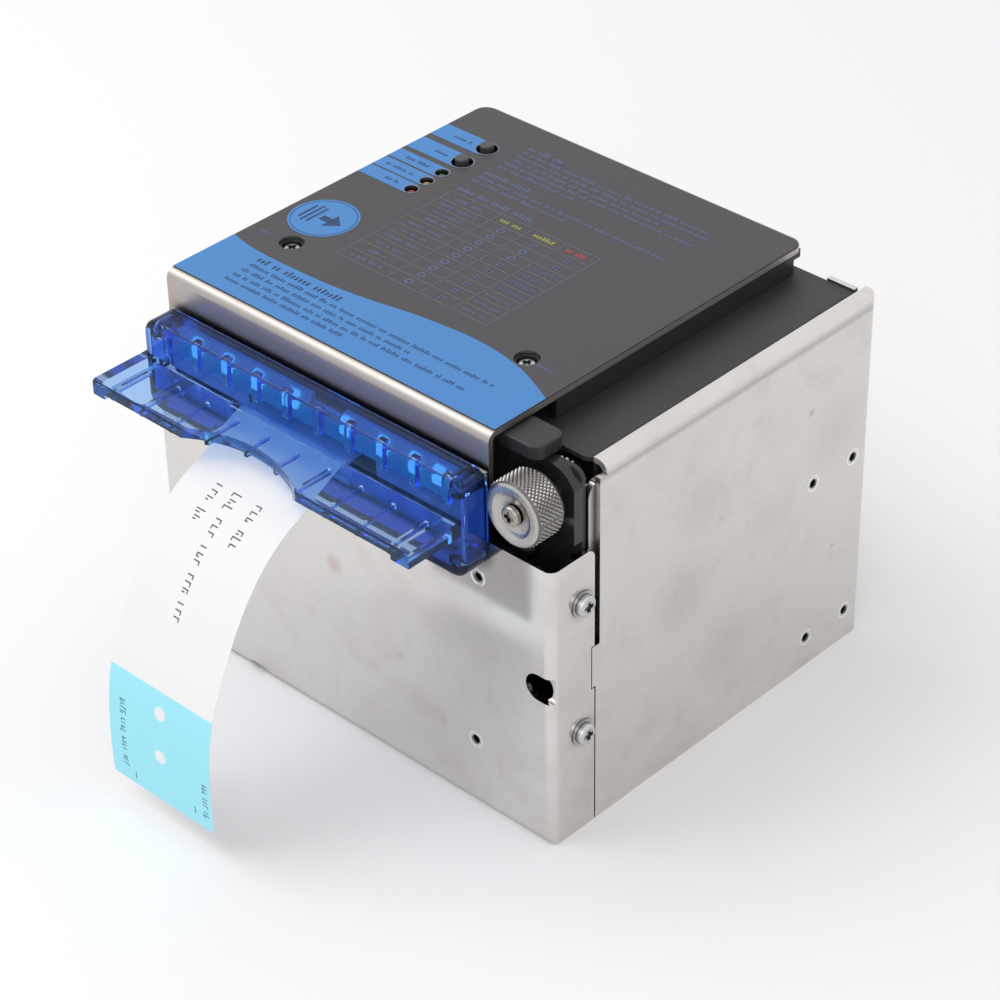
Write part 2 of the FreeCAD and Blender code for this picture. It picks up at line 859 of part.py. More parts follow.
def inner_chassis():
    # Black sheet with the deck on top, two walls down to the floor and a foot along each wall.
    half = side - top_flange_width - panel_clearance
    wall_front = front + deck_front_depth + deck_corner_cut
    deck_rear = rear - rear_panel_inset - sheet - deck_rear_gap
    deck_bottom = deck_top - chassis_sheet
    shape = rounded_block(-half, half, front + deck_front_depth, deck_rear, sheet, deck_top, deck_bend_radius,
                          lambda p: abs(p.x) > half - chassis_sheet and p.z > deck_bottom)
    room = block(-half + chassis_sheet, half - chassis_sheet, front, rear, 0, deck_bottom)
    shape = shape.cut(room)
    opening_left = -half + deck_left_strip
    opening_right = half - deck_right_strip
    cuts = [block(opening_left, opening_right, front, deck_rear - deck_rear_strip,
                  deck_bottom - overrun, deck_top + overrun)]
    window_front = front + housing_depth * chassis_window_depth_share
    window_rear = window_front + housing_depth * chassis_window_length_share
    window_bottom = deck_top * chassis_window_bottom_share
    window_top = window_bottom + deck_top * chassis_window_height_share
    for x0, x1 in ((-half - overrun, -half + 2 * chassis_sheet), (half - 2 * chassis_sheet, half + overrun)):
        cuts.append(block(x0, x1, front, wall_front, 0, deck_bottom))
        cuts.append(block(x0, x1, window_front, window_rear, window_bottom, window_top))
    for sign in (-1, 1):
        corner = half - 2 * chassis_sheet
        edge = [(sign * corner, front), (sign * (half + overrun), front),
                (sign * (half + overrun), front + deck_front_depth + 2 * chassis_sheet),
                (sign * corner, front + deck_front_depth)]
        cuts.append(prism_z(edge, deck_bottom - overrun, deck_top + overrun))
    shape = remove(shape, cuts)
    feet = []
    for sign in (-1, 1):
        edges = sorted((sign * half, sign * (half - chassis_foot_width)))
        feet.append(block(edges[0], edges[1], wall_front, deck_rear, sheet, sheet + chassis_sheet))
    return join([shape] + feet + hinge_ears())


def cover_plate():
    # Upper cover sheet with its front edge bent down behind the bezel.
    y0 = front + cover_front_depth
    y1 = front + cover_rear_depth
    plate = rounded_block(cover_left, cover_right, y0, y1, cover_flange_bottom, plate_top, cover_bend_radius,
                          lambda p: p.y < y0 + cover_sheet and p.z > plate_bottom
                          and abs(p.x - cover_middle) < cover_width / 4)
    room = rounded_block(cover_left - overrun, cover_right + overrun, y0 + cover_sheet, y1 + overrun,
                         cover_flange_bottom - overrun, plate_bottom, cover_bend_radius - cover_sheet,
                         lambda p: p.y < y0 + 2 * cover_sheet and p.z > plate_bottom - cover_sheet
                         and abs(p.x - cover_middle) < cover_width / 4)
    plate = plate.cut(room)
    z0, z1 = plate_bottom - overrun, plate_top + overrun
    centre_y = y1 - cover_corner_radius
    cuts = []
    for edge_x, inward in ((cover_left, 1), (cover_right, -1)):
        centre_x = edge_x + inward * cover_corner_radius
        xs = sorted((edge_x - inward * overrun, centre_x))
        corner = block(xs[0], xs[1], centre_y, y1 + overrun, z0, z1)
        cuts.append(corner.cut(rod_z(z0, z1, centre_x, centre_y, cover_corner_radius)))
    return remove(plate, cuts + cover_holes(z0, z1))


def cover_holes(z0, z1):
    holes = [rod_z(z0, z1, x, cover_screw_y, cover_screw_hole_radius) for x in cover_screw_x]
    holes += [rod_z(z0, z1, button_x, front + depth, button_hole_radius)
              for depth in (feed_button_depth, cut_button_depth)]
    holes += [rod_z(z0, z1, button_x, front + depth, light_hole_radius)
              for depth in (green_light_depth, yellow_light_depth, red_light_depth)]
    return holes


def cover_overlay():
    y0 = front + cover_front_depth + overlay_front_margin
    y1 = front + cover_rear_depth - overlay_rear_margin
    film = rounded_block(overlay_left, overlay_right, y0, y1, plate_top, cover_top,
                         cover_corner_radius - overlay_rear_margin,
                         lambda p: abs(p.x - cover_middle) > cover_width / 2 - cover_corner_radius
                         and p.y > y1 - cover_corner_radius
                         and abs(p.z - (plate_top + cover_top) / 2) < overlay_thickness / 4)
    return remove(film, cover_holes(plate_top - overrun, cover_top + overrun))


def cover_frame():
    # Black moulded frame under the cover, with hinge pins, screw bushes, board posts and the latch ledge.
    x0 = cover_left + cover_frame_inset
    x1 = cover_right - cover_frame_inset
    y0 = front + cover_front_depth + cover_bend_radius + cover_frame_gap
    y1 = front + cover_rear_depth - cover_frame_inset
    z0 = deck_top + cover_frame_gap
    inner_x0 = x0 + cover_frame_wall
    inner_x1 = x1 - cover_frame_wall
    frame = block(x0, x1, y0, y1, z0, plate_bottom)
    frame = frame.cut(block(inner_x0, inner_x1, y0 + cover_frame_wall, y1 - cover_frame_wall,
                            z0 - overrun, plate_bottom + overrun))
    hinge_round = hinge_height - z0
    cuts = [block(x0 - overrun, x1 + overrun, y1 - cover_frame_wall - overrun, y1 + overrun, z0 - overrun,
                  rear_wall_bottom)]
    end = block(x0 - overrun, x1 + overrun, hinge_y, y1 + overrun, z0 - overrun, hinge_height)
    cuts.append(end.cut(rod_x(x0 - overrun, x1 + overrun, hinge_y, hinge_height, hinge_round)))
    cuts.append(block(lever_x - lever_hub_radius - overrun, x1 + overrun, front + lever_notch_front,
                      front + lever_notch_rear, z0 - overrun, lever_top + cover_frame_gap))
    frame = remove(frame, cuts)
    ledge_top = lever_bottom - ledge_gap
    ledge_rear = front + lever_nose_front + ledge_overlap
    ledge = block(lever_nose_left - ledge_side_margin, lever_nose_left + lever_nose_width + ledge_side_margin,
                  y0, ledge_rear, ledge_top - ledge_thickness, ledge_top)
    web = block(inner_x0 - cover_frame_root, inner_x1 + cover_frame_root, front + cover_web_front_depth,
                y1 - cover_frame_root, web_bottom, plate_bottom)
    web_z0, web_z1 = web_bottom - overrun, plate_bottom + overrun
    wide_holes = [rod_z(web_z0, web_z1, button_x, front + depth, button_flange_radius + cover_frame_gap)
                  for depth in (feed_button_depth, cut_button_depth)]
    web = web.cut(block(bay_left + web_window_margin, bay_right - web_window_margin,
                        front + web_window_front_depth, front + web_window_rear_depth, web_z0, web_z1))
    parts = [frame, ledge, remove(web, wide_holes + cover_holes(web_z0, web_z1))]
    bush_top = plate_top - cover_bush_depth
    for x in cover_screw_x:
        bush = rod_z(web_bottom - cover_boss_height, plate_bottom, x, cover_screw_y, cover_boss_radius)
        collar = rod_z(plate_bottom - overrun, bush_top, x, cover_screw_y,
                       cover_screw_hole_radius - cover_bush_clearance)
        hole = rod_z(web_bottom - cover_boss_height - overrun, bush_top + overrun, x, cover_screw_y,
                     cover_screw_radius + screw_hole_clearance)
        recess = rod_z(bush_top - cover_screw_recess, bush_top + overrun, x, cover_screw_y,
                       cover_screw_head_radius + screw_hole_clearance)
        parts.append(remove(bush.fuse(collar), [hole, recess]))
    for y in button_board_post_places():
        parts.append(rod_z(button_board_height + button_board_thickness, web_bottom + cover_web / 2,
                           button_x, y, board_post_radius))
    pin_reach = hinge_bracket_gap + hinge_bracket_width
    eye_room = hinge_eye_radius + hinge_bracket_gap
    rooms = []
    for first, last in ((inner_x0, inner_x0 + pin_reach + hinge_bracket_gap),
                        (inner_x1 - pin_reach - hinge_bracket_gap, inner_x1)):
        rooms.append(rod_x(first, last, hinge_y, hinge_height, eye_room))
        rooms.append(block(first, last, hinge_y, y1 + overrun, z0, hinge_height + eye_room))
    shape = remove(join(parts), rooms)
    pins = [rod_x(inner_x0 - cover_frame_root, inner_x0 + pin_reach, hinge_y, hinge_height, hinge_pin_radius),
            rod_x(inner_x1 - pin_reach, inner_x1 + cover_frame_root, hinge_y, hinge_height, hinge_pin_radius)]
    return join([shape] + pins)


def cover_screws():
    screws = []
    seat = plate_top - cover_bush_depth - cover_screw_recess
    length = seat - (web_bottom - cover_boss_height - head_bracket_sheet)
    for x in cover_screw_x:
        screws.append(pan_screw(x, cover_screw_y, seat, (0, 0, 1), cover_screw_radius, length,
                                cover_screw_head_radius, cover_screw_head_height))
    return group(screws)


def hinge_ears():
    # Ears bent up from the deck beside the cover frame, each on a short root.
    ears = []
    inner_x0 = cover_left + cover_frame_inset + cover_frame_wall
    inner_x1 = cover_right - cover_frame_inset - cover_frame_wall
    for x0 in (inner_x0 + hinge_bracket_gap, inner_x1 - hinge_bracket_gap - hinge_bracket_width):
        x1 = x0 + hinge_bracket_width
        eye = rod_x(x0, x1, hinge_y, hinge_height, hinge_eye_radius)
        post = block(x0, x1, hinge_y - hinge_eye_radius, hinge_y + hinge_eye_radius, deck_top - chassis_sheet,
                     hinge_height)
        bore = rod_x(x0 - overrun, x1 + overrun, hinge_y, hinge_height,
                     hinge_pin_radius + hinge_pin_clearance)
        ears.append(join([eye, post]).cut(bore))
    return ears


def button_board_ends():
    return (front + red_light_depth - button_board_margin, front + feed_button_depth + button_board_margin)


def button_board_post_places():
    y0, y1 = button_board_ends()
    return (y0 + board_post_radius, y1 - board_post_radius)


def button_board():
    y0, y1 = button_board_ends()
    top = button_board_height + button_board_thickness
    board = block(button_x - button_board_width / 2, button_x + button_board_width / 2, y0, y1,
                  button_board_height, top)
    button_bottom = plate_bottom - button_flange_drop - button_flange_thickness - button_tail
    switch_top = button_bottom - button_travel - switch_gap
    half = switch_size / 2
    parts = [board]
    for depth in (feed_button_depth, cut_button_depth):
        y = front + depth
        parts.append(block(button_x - half, button_x + half, y - half, y + half, top - switch_root,
                           switch_top))
    return join(parts)


def push_button(depth):
    y = front + depth
    flange_top = plate_bottom - button_flange_drop
    flange_bottom = flange_top - button_flange_thickness
    cap = rod_z(flange_top - switch_root, cover_top + button_proud, button_x, y, button_radius)
    rim = [edge for edge in cap.Edges if edge.Closed and edge.CenterOfMass.z > cover_top]
    cap = cap.makeFillet(button_round_radius, rim)
    flange = rod_z(flange_bottom, flange_top, button_x, y, button_flange_radius)
    tail = rod_z(flange_bottom - button_tail, flange_bottom + switch_root, button_x, y, button_radius)
    return join([cap, flange, tail])


def status_light(depth):
    y = front + depth
    board_top = button_board_height + button_board_thickness
    tip = cover_top - light_recess
    lens = rod_z(board_top, tip - light_radius, button_x, y, light_radius)
    dome = Part.makeSphere(light_radius, Vector(button_x, y, tip - light_radius))
    base = rod_z(board_top, board_top + light_radius, button_x, y, light_base_radius)
    return join([lens.fuse(dome), base])


def bezel():
    # Translucent moulding: a hollow box with ribs behind its front wall and a shelf with a finger notch.
    outer = rounded_block(bezel_left, bezel_right, bezel_front, front, bezel_bottom, bezel_top,
                          bezel_corner_radius,
                          lambda p: abs(p.y - (bezel_front + front) / 2) < bezel_thickness / 4)
    rim = [edge for edge in outer.Edges if edge.CenterOfMass.y < bezel_front + bezel_edge_radius / 2]
    outer = outer.makeFillet(bezel_edge_radius, rim)
    pocket_front = bezel_front + bezel_front_wall
    pocket = rounded_block(bezel_left + bezel_wall, bezel_right - bezel_wall, pocket_front, front + overrun,
                           bezel_bottom + bezel_wall, bezel_top - bezel_wall,
                           bezel_corner_radius - bezel_wall,
                           lambda p: abs(p.y - (pocket_front + front + overrun) / 2) < bezel_thickness / 4)
    parts = [outer.cut(pocket)]
    pilots = []
    for x, z in bezel_screw_places():
        parts.append(rod_y(pocket_front - rib_root, front, x, z, boss_radius))
        pilots.append(rod_y(front - bezel_screw_length - rib_root, front + overrun, x, z, boss_pilot_radius))
    parts += bezel_ribs(pocket_front)
    parts.append(shelf())
    shape = join(parts)
    slot = block(paper_centre - notch_width / 2, paper_centre + notch_width / 2, bezel_front - overrun,
                 pocket_front + overrun, shelf_top - shelf_thickness + outlet_rise - outlet_height,
                 shelf_top - shelf_thickness + outlet_rise)
    return remove(shape, pilots + [slot])


def rib_places(first, last):
    # Rib positions at one pitch, counted outwards from the middle of the paper.
    count = int((last - first) / rib_pitch)
    start = (first + last) / 2 - count * rib_pitch / 2
    return [start + index * rib_pitch for index in range(count + 1)]


def bezel_ribs(pocket_front):
    # Posts between the light pockets.
    posts = []
    for x in rib_places(bezel_left + rib_pitch / 2, bezel_right - rib_pitch / 2):
        posts.append(block(x - post_width / 2, x + post_width / 2, pocket_front - rib_root,
                           pocket_front + post_depth, shelf_top + rib_height, bezel_top - rib_root))
    return posts


def shelf():
    x0 = bezel_left + shelf_left_gap
    x1 = bezel_right - shelf_right_gap
    y0 = bezel_front - shelf_reach
    bottom = shelf_top - shelf_thickness
    root = bezel_front + bezel_front_wall / 2
    plate = block(x0, x1, y0, root, bottom, shelf_top)
    lip = block(x0, x0 + shelf_lip_width, y0, root, shelf_top - shelf_lip_height, shelf_top)
    end = block(x1 - shelf_block_width, x1, y0, root, shelf_top - shelf_block_height, shelf_top)
    ribs = [block(x - rib_width / 2, x + rib_width / 2, y0 + shelf_front_radius, bezel_front - rib_start,
                  bottom - rib_height, bottom + rib_root)
            for x in rib_places(x0 + shelf_lip_width + rib_width, x1 - shelf_block_width - rib_width)]
    shape = join([plate, lip, end] + ribs)
    front_edges = [edge for edge in shape.Edges
                   if abs(edge.CenterOfMass.y - y0) < shelf_front_radius / 10
                   and abs(edge.CenterOfMass.z - shelf_top) < shelf_front_radius / 10]
    shape = shape.makeFillet(shelf_front_radius, front_edges)
    notch_radius = ((notch_width / 2) ** 2 + notch_depth ** 2) / (2 * notch_depth)
    notch = rod_z(shelf_top - shelf_block_height - overrun, shelf_top + overrun, paper_centre,
                  y0 + notch_depth - notch_radius, notch_radius)
    return shape.cut(notch)


def bezel_bracket():
    # Steel bracket behind the bezel, stepped to stand behind the front panel at its foot.
    x0 = bezel_left + bracket_side_inset
    x1 = bezel_right - bracket_side_inset
    step_bottom = front_panel_height + panel_clearance
    upper = block(x0, x1, front, front + bracket_sheet, step_bottom, bracket_top)
    low_x0 = x0 + bracket_leg_margin
    low_x1 = x1 - bracket_leg_margin
    step_top = step_bottom + bracket_sheet
    leg_rear = front + sheet + bracket_sheet
    step = block(low_x0, low_x1, front, leg_rear, step_bottom, step_top)
    leg = block(low_x0, low_x1, front + sheet, leg_rear, bracket_leg_bottom, step_top)
    shape = join([upper, step, leg])
    cuts = [block(bay_left, bay_right, front - overrun, leg_rear + overrun, bracket_window_bottom, shelf_top)]
    for x, z in bezel_screw_places()[:2]:
        cone = Part.makeCone(bezel_screw_radius + screw_hole_clearance, countersink_radius, bracket_sheet,
                             Vector(x, front, z), Vector(0, 1, 0))
        cuts.append(cone)
    return remove(shape, cuts)


def bezel_screws():
    screws = []
    for index, (x, z) in enumerate(bezel_screw_places()):
        seat = bracket_sheet if index < 2 else sheet
        head = Part.makeCone(bezel_screw_radius, countersink_radius - panel_clearance / 2, bracket_sheet,
                             Vector(x, front + seat - bracket_sheet, z), Vector(0, 1, 0))
        shank = rod_y(front - bezel_screw_length, front + seat - bracket_sheet, x, z, bezel_screw_radius)
        screws.append(head.fuse(shank))
    return group(screws)


def light_board():
    x0 = bezel_left + light_board_left_margin
    x1 = bezel_right - light_board_right_margin
    y1 = front - light_board_gap
    top = bezel_top - light_board_top_gap
    y0 = y1 - light_board_thickness
    board = block(x0, x1, y0, y1, light_board_bottom, top)
    notch_left = bezel_left + bezel_width * light_board_notch_share
    return board.cut(block(notch_left, notch_left + light_board_notch_width, y0 - overrun, y1 + overrun,
                           top - light_board_notch_depth, top + overrun))


def bezel_lights():
    y1 = front - light_board_gap - light_board_thickness
    lights = []
    for share in light_shares:
        x = bezel_left + bezel_width * share
        lights.append(block(x - light_width / 2, x + light_width / 2, y1 - light_thickness, y1, light_bottom,
                            light_bottom + light_height))
    return group(lights)


def knob():
    y0 = knob_front
    body = rod_y(y0, y0 + knob_length, knob_x, knob_height, knob_radius)
    body = body.makeChamfer(knob_chamfer, [edge for edge in body.Edges if edge.Closed])
    dish = Part.makeCone(knob_dish_radius, knob_dish_radius - knob_dish_depth, knob_dish_depth,
                         Vector(knob_x, y0, knob_height), Vector(0, 1, 0))
    bore = rod_y(y0 + knob_shaft_start, y0 + knob_length + overrun, knob_x, knob_height, knob_shaft_radius)
    hole = rod_y(y0 - overrun, y0 + knob_length, knob_x, knob_height, knob_screw_radius)
    return remove(body, [dish, bore, hole])


def knob_screw():
    seat = knob_front + knob_dish_depth
    return pan_screw(knob_x, seat, knob_height, (0, -1, 0), knob_screw_radius, knob_screw_length,
                     knob_screw_head_radius, knob_screw_head_height)


def knob_shaft():
    y0 = knob_front + knob_shaft_start
    shaft = rod_y(y0, drive_front + drive_gear_width + knob_shaft_end, knob_x, knob_height, knob_shaft_radius)
    thread = rod_y(y0 - overrun, knob_front + knob_dish_depth + knob_screw_length, knob_x, knob_height,
                   knob_screw_radius)
    return shaft.cut(thread)


def gear_cover_left_edge():
    return knob_x - gear_cover_left


def gear_cover():
    # Black cup over the pinion, round at the top right and open where the rack passes.
    y0 = front + gear_cover_depth
    y1 = frame_front
    wall = gear_cover_wall
    left = gear_cover_left_edge()
    right = knob_x + gear_cover_side

    def filled(inset, first, last, bottom):
        disc = rod_y(first, last, knob_x, knob_height, gear_cover_radius - inset)
        left_part = block(left + inset, knob_x, first, last, bottom, knob_height + gear_cover_radius - inset)
        low_part = block(knob_x - overrun, right - inset, first, last, bottom, knob_height)
        disc = disc.common(block(knob_x - overrun, right - inset, first, last, knob_height - overrun,
                                 knob_height + gear_cover_radius))
        return join([left_part, low_part, disc])

    cup = filled(0, y0, y1, gear_cover_bottom)
    cup = cup.cut(filled(wall, y0 + wall, y1 + overrun, gear_cover_bottom - overrun))
    passage = block(rack_x() - rack_width - rack_room, rack_x() + rack_room, y0 + wall, y1 + overrun,
                    knob_height, knob_height + gear_cover_radius + overrun)
    bar_passage = block(left - overrun, rack_x(), y0 + wall, y1 + overrun, gear_cover_bottom - overrun,
                        carrier_top + blade_travel + tab_gap)
    bore = rod_y(y0 - overrun, y1, knob_x, knob_height, knob_shaft_radius + shaft_fit)
    return remove(cup, [passage, bar_passage, bore])


def rack_x():
    # Pitch line of the rack, on the left of the pinion.
    return knob_x - pinion_radius - rack_mesh_clearance


def cutter_frame():
    # Black plate across the mechanism with the paper window, the gear bearing and the lever flange.
    left = bay_left - cutter_frame_left_reach
    right = knob_x + cutter_frame_right_reach
    step_x = bay_right + bay_sheet
    plate = block(left, right, frame_front, frame_rear, cutter_frame_bottom, cutter_frame_top)
    ear = rounded_block(step_x, right, frame_front, frame_rear, cutter_frame_top - cutter_frame_corner_radius,
                        cutter_frame_right_top, cutter_frame_corner_radius,
                        lambda p: p.x > right - overrun and p.z > cutter_frame_right_top - overrun
                        or abs(p.x - step_x) < overrun and p.z > cutter_frame_right_top - overrun)
    flange_x0 = lever_x - lever_flange_width / 2
    flange = block(flange_x0, flange_x0 + lever_flange_width, frame_front, front + lever_flange_depth,
                   cutter_frame_right_top - cutter_frame_sheet, cutter_frame_right_top)
    shape = join([plate, ear, flange])
    y0, y1 = frame_front - overrun, frame_rear + overrun
    cuts = [block(bay_left + blade_margin, bay_right - blade_margin, y0, y1, frame_window_bottom,
                  fixed_blade_bottom)]
    cuts.append(rod_y(y0, y1, knob_x, knob_height, knob_shaft_radius + shaft_fit))
    cuts.append(rod_z(cutter_frame_right_top - cutter_frame_sheet - overrun, cutter_frame_right_top + overrun,
                      lever_x, lever_y, lever_pin_radius))
    for x, z in guide_places():
        cuts.append(rod_y(y0, y1, x, z, blade_screw_radius))
    low_x = side - sheet - top_flange_width
    cuts.append(block(low_x, right + overrun, y0, y1, cutter_frame_bottom - overrun,
                      side_guide_height - cutter_frame_notch_gap))
    return remove(shape, cuts)


def guide_places():
    return [(paper_centre, low_guide_height), (bay_right + side_guide_offset, side_guide_height)]


def blade_carrier():
    # Plate that carries the blade, with a rack at its right and slots that run on the guide screws.
    half_slot = guide_screw_radius + guide_fit
    y0, y1 = carrier_front, carrier_rear
    bar = block(bay_left + blade_margin, rack_x() - rack_module, y0, y1, carrier_bottom, carrier_top)
    parts = [bar]
    slots = []
    pad_half = half_slot + guide_pad_margin
    ya, yb = y0 - overrun, y1 + overrun
    for x, z in guide_places():
        low = z - blade_travel
        parts.append(block(x - pad_half, x + pad_half, y0, y1, min(low - pad_half, carrier_bottom),
                           max(z + pad_half, carrier_top)))
        slots += [rod_y(ya, yb, x, low, half_slot), rod_y(ya, yb, x, z, half_slot),
                  block(x - half_slot, x + half_slot, ya, yb, low, z)]
    root_x = rack_x() - rack_module * dedendum_share
    column_bottom = knob_height - blade_travel - rack_bottom_margin
    column_top = knob_height + rack_top_margin
    parts.append(block(root_x - rack_width, root_x, y0, y1, carrier_bottom, column_top))
    parts += [prism_y(points, y0, y1) for points in rack_teeth(root_x, column_bottom, column_top)]
    carrier = join(parts)
    holes = [rod_y(ya, yb, x, z, blade_screw_radius) for x, z in moving_blade_screw_places()]
    return remove(carrier, slots + holes)


def rack_teeth(root_x, bottom, top):
    # Outline of each rack tooth, with a space between two teeth level with the axis of the pinion.
    pitch = math.pi * rack_module
    tip_x = rack_x() + rack_module * addendum_share
    points = ((-tooth_root_share, root_x - rack_root), (-tooth_root_share, root_x),
              (-tooth_pitch_share, rack_x()), (-tooth_tip_share, tip_x), (tooth_tip_share, tip_x),
              (tooth_pitch_share, rack_x()), (tooth_root_share, root_x),
              (tooth_root_share, root_x - rack_root))
    first = int((bottom - knob_height) / pitch)
    last = int((top - knob_height) / pitch)
    teeth = []
    for index in range(first, last + 1):
        middle = knob_height + index * pitch + pitch / 2
        if middle + pitch / 2 < top:
            teeth.append([(x, middle + share * pitch) for share, x in points])
    return teeth


def blade_screw_columns():
    inset = blade_margin + blade_screw_inset
    return bay_left + inset, bay_right - inset


def moving_blade_screw_places():
    return [(x, (carrier_bottom + carrier_top) / 2) for x in blade_screw_columns()]


def fixed_blade_screw_places():
    return [(x, (fixed_blade_bottom + fixed_blade_top) / 2) for x in blade_screw_columns()]


def moving_blade():
    # Blade with a V-shaped edge, and a notch in the middle that leaves a bridge of paper uncut.
    x0 = bay_left + blade_margin
    x1 = bay_right - blade_margin
    middle = (x0 + x1) / 2
    outline = [(x0, carrier_bottom), (x1, carrier_bottom), (x1, blade_top), (middle, blade_top - blade_dip),
               (x0, blade_top)]
    blade = prism_y(outline, blade_front, carrier_front)
    notch_bottom = paper_height - blade_travel - bridge_gap
    notch = block(paper_centre - bridge_width / 2 - bridge_gap, paper_centre + bridge_width / 2 + bridge_gap,
                  blade_front - overrun, carrier_front + overrun, notch_bottom, blade_top + overrun)
    holes = [notch] + [rod_y(blade_front - overrun, carrier_front + overrun, x, z, blade_screw_radius)
                       for x, z in moving_blade_screw_places()]
    low_guide = block(paper_centre - guide_screw_head_radius - guide_pad_margin / 2,
                      paper_centre + guide_screw_head_radius + guide_pad_margin / 2, blade_front - overrun,
                      carrier_front + overrun, carrier_bottom - overrun,
                      carrier_bottom + guide_pad_margin)
    return remove(blade, holes + [low_guide])


def fixed_blade():
    x0 = bay_left + blade_margin
    x1 = bay_right - blade_margin
    y0 = carrier_front + cutter_gap / 2
    blade = block(x0, x1, y0, frame_front, fixed_blade_bottom, fixed_blade_top)
    sunk = blade_screw_head_height
    return remove(blade, [rod_y(y0 - overrun, frame_front + overrun, x, z, blade_screw_radius)
                          for x, z in fixed_blade_screw_places()]
                  + [rod_y(y0 - overrun, y0 + sunk, x, z, blade_screw_head_radius + screw_hole_clearance)
                     for x, z in fixed_blade_screw_places()])


def moving_blade_screws():
    length = blade_thickness + carrier_thickness
    return group([pan_screw(x, blade_front, z, (0, -1, 0), blade_screw_radius, length,
                            blade_screw_head_radius, blade_screw_head_height)
                  for x, z in moving_blade_screw_places()])


def cutter_screws():
    # Sunk screws of the fixed blade, and the shoulder screws that guide the carrier.
    seat = carrier_front + cutter_gap / 2 + blade_screw_head_height
    screws = [pan_screw(x, seat, z, (0, -1, 0), blade_screw_radius, frame_front - seat,
                        blade_screw_head_radius, blade_screw_head_height)
              for x, z in fixed_blade_screw_places()]
    head_front = carrier_front - cutter_gap
    for x, z in guide_places():
        shoulder = rod_y(head_front, frame_front, x, z, guide_screw_radius)
        head = rod_y(head_front - guide_screw_head_height, head_front, x, z, guide_screw_head_radius)
        stem = rod_y(frame_front, frame_rear, x, z, blade_screw_radius)
        screws.append(join([head, shoulder, stem]))
    return group(screws)


def cutter_pinion():
    # A tooth points at the space of the rack that is level with the axis.
    return gear_y(knob_x, carrier_front, carrier_thickness, knob_height, cutter_pinion_teeth, rack_module,
                  knob_shaft_radius, 180)


def cutter_motor_place():
    distance = drive_radius + motor_pinion_radius + gear_centre_clearance
    angle = math.radians(cutter_motor_angle)
    return knob_x + distance * math.cos(angle), knob_height + distance * math.sin(angle)


def drive_gear():
    # A tooth points at the motor pinion.
    return gear_y(knob_x, drive_front, drive_gear_width, knob_height, drive_gear_teeth, gear_module,
                  knob_shaft_radius, cutter_motor_angle)


def cutter_motor_pinion():
    x, z = cutter_motor_place()
    turn = cutter_motor_angle + 180 + 180 / motor_pinion_teeth
    pinion = gear_y(x, drive_front, drive_gear_width, z, motor_pinion_teeth, gear_module, 0, turn)
    return pinion.fuse(rod_y(drive_front, cutter_motor_face() + motor_shaft_depth, x, z, motor_shaft_radius))


def cutter_motor_face():
    return drive_front + drive_gear_width + motor_face_gap


def cutter_motor():
    x, z = cutter_motor_place()
    face = cutter_motor_face()
    can = rod_y(face, face + cutter_motor_length, x, z, cutter_motor_radius)
    middle = face + cutter_motor_length / 2
    back = [edge for edge in can.Edges if edge.Closed and edge.CenterOfMass.y > middle]
    can = can.makeFillet(cutter_motor_round, back)
    parts = [can]
    for sign in (-1, 1):
        angle = math.radians(cutter_motor_angle + sign * 90)
        ex = x + cutter_ear_reach * math.cos(angle)
        ez = z + cutter_ear_reach * math.sin(angle)
        parts.append(rod_y(face, face + motor_plate, ex, ez, cutter_ear_radius))
        arm = block(0, cutter_ear_reach, 0, motor_plate, -cutter_ear_radius, cutter_ear_radius)
        arm.Placement = FreeCAD.Placement(Vector(x, face, z), FreeCAD.Rotation(Vector(0, -1, 0),
                                          cutter_motor_angle + sign * 90))
        parts.append(arm)
        parts.append(rod_y(frame_rear, face, ex, ez, motor_leg_radius))
    motor = join(parts)
    return motor.cut(rod_y(face - overrun, face + motor_shaft_depth + motor_bore_clearance, x, z,
                           motor_shaft_radius + motor_bore_clearance))


def release_lever():
    # Flat lever with a hub, a nose over the latch ledge and a finger tab outside the cover.
    z0, z1 = lever_bottom, lever_top
    tab_left = cover_right - lever_tab_inset
    tab_right = cover_right + lever_tab_reach
    bar_front = front + lever_bar_front
    bar_rear = front + lever_bar_rear
    hub = rod_z(z0, z1, lever_x, lever_y, lever_hub_radius)
    neck_half = lever_hub_radius * lever_neck_share
    neck = prism_z([(lever_x - neck_half, lever_y - neck_half), (lever_x + lever_hub_radius, bar_front),
                    (tab_left, bar_front), (tab_left, bar_rear), (lever_x + 2 * lever_hub_radius, bar_rear),
                    (lever_x + neck_half, lever_y + neck_half)], z0, z1)
    tab = rounded_block(tab_left - lever_tab_inset, tab_right, front + lever_tab_front,
                        front + lever_tab_rear, z0, z1, lever_tab_radius,
                        lambda p: p.x > tab_right - lever_tab_radius
                        and abs(p.z - (z0 + z1) / 2) < lever_thickness / 4)
    tops = [edge for edge in tab.Edges if edge.CenterOfMass.z > z1 - lever_thickness / 8
            and edge.CenterOfMass.x > tab_left]
    tab = tab.makeChamfer(lever_tab_chamfer, tops)
    nose = block(lever_nose_left, lever_nose_left + lever_nose_width, front + lever_nose_front,
                 bar_front + lever_nose_root, z0, z0 + lever_nose_thickness)
    lever = join([hub, neck, tab, nose])
    return lever.cut(rod_z(z0 - overrun, z1 + overrun, lever_x, lever_y, lever_pin_radius + lever_pin_fit))


def lever_pin():
    top = plate_bottom - cover_frame_gap / 2
    stem = rod_z(cutter_frame_right_top - cutter_frame_sheet, top, lever_x, lever_y, lever_pin_radius)
    head = rod_z(lever_top + lever_pin_fit, top, lever_x, lever_y, lever_pin_head_radius)
    return join([stem, head])


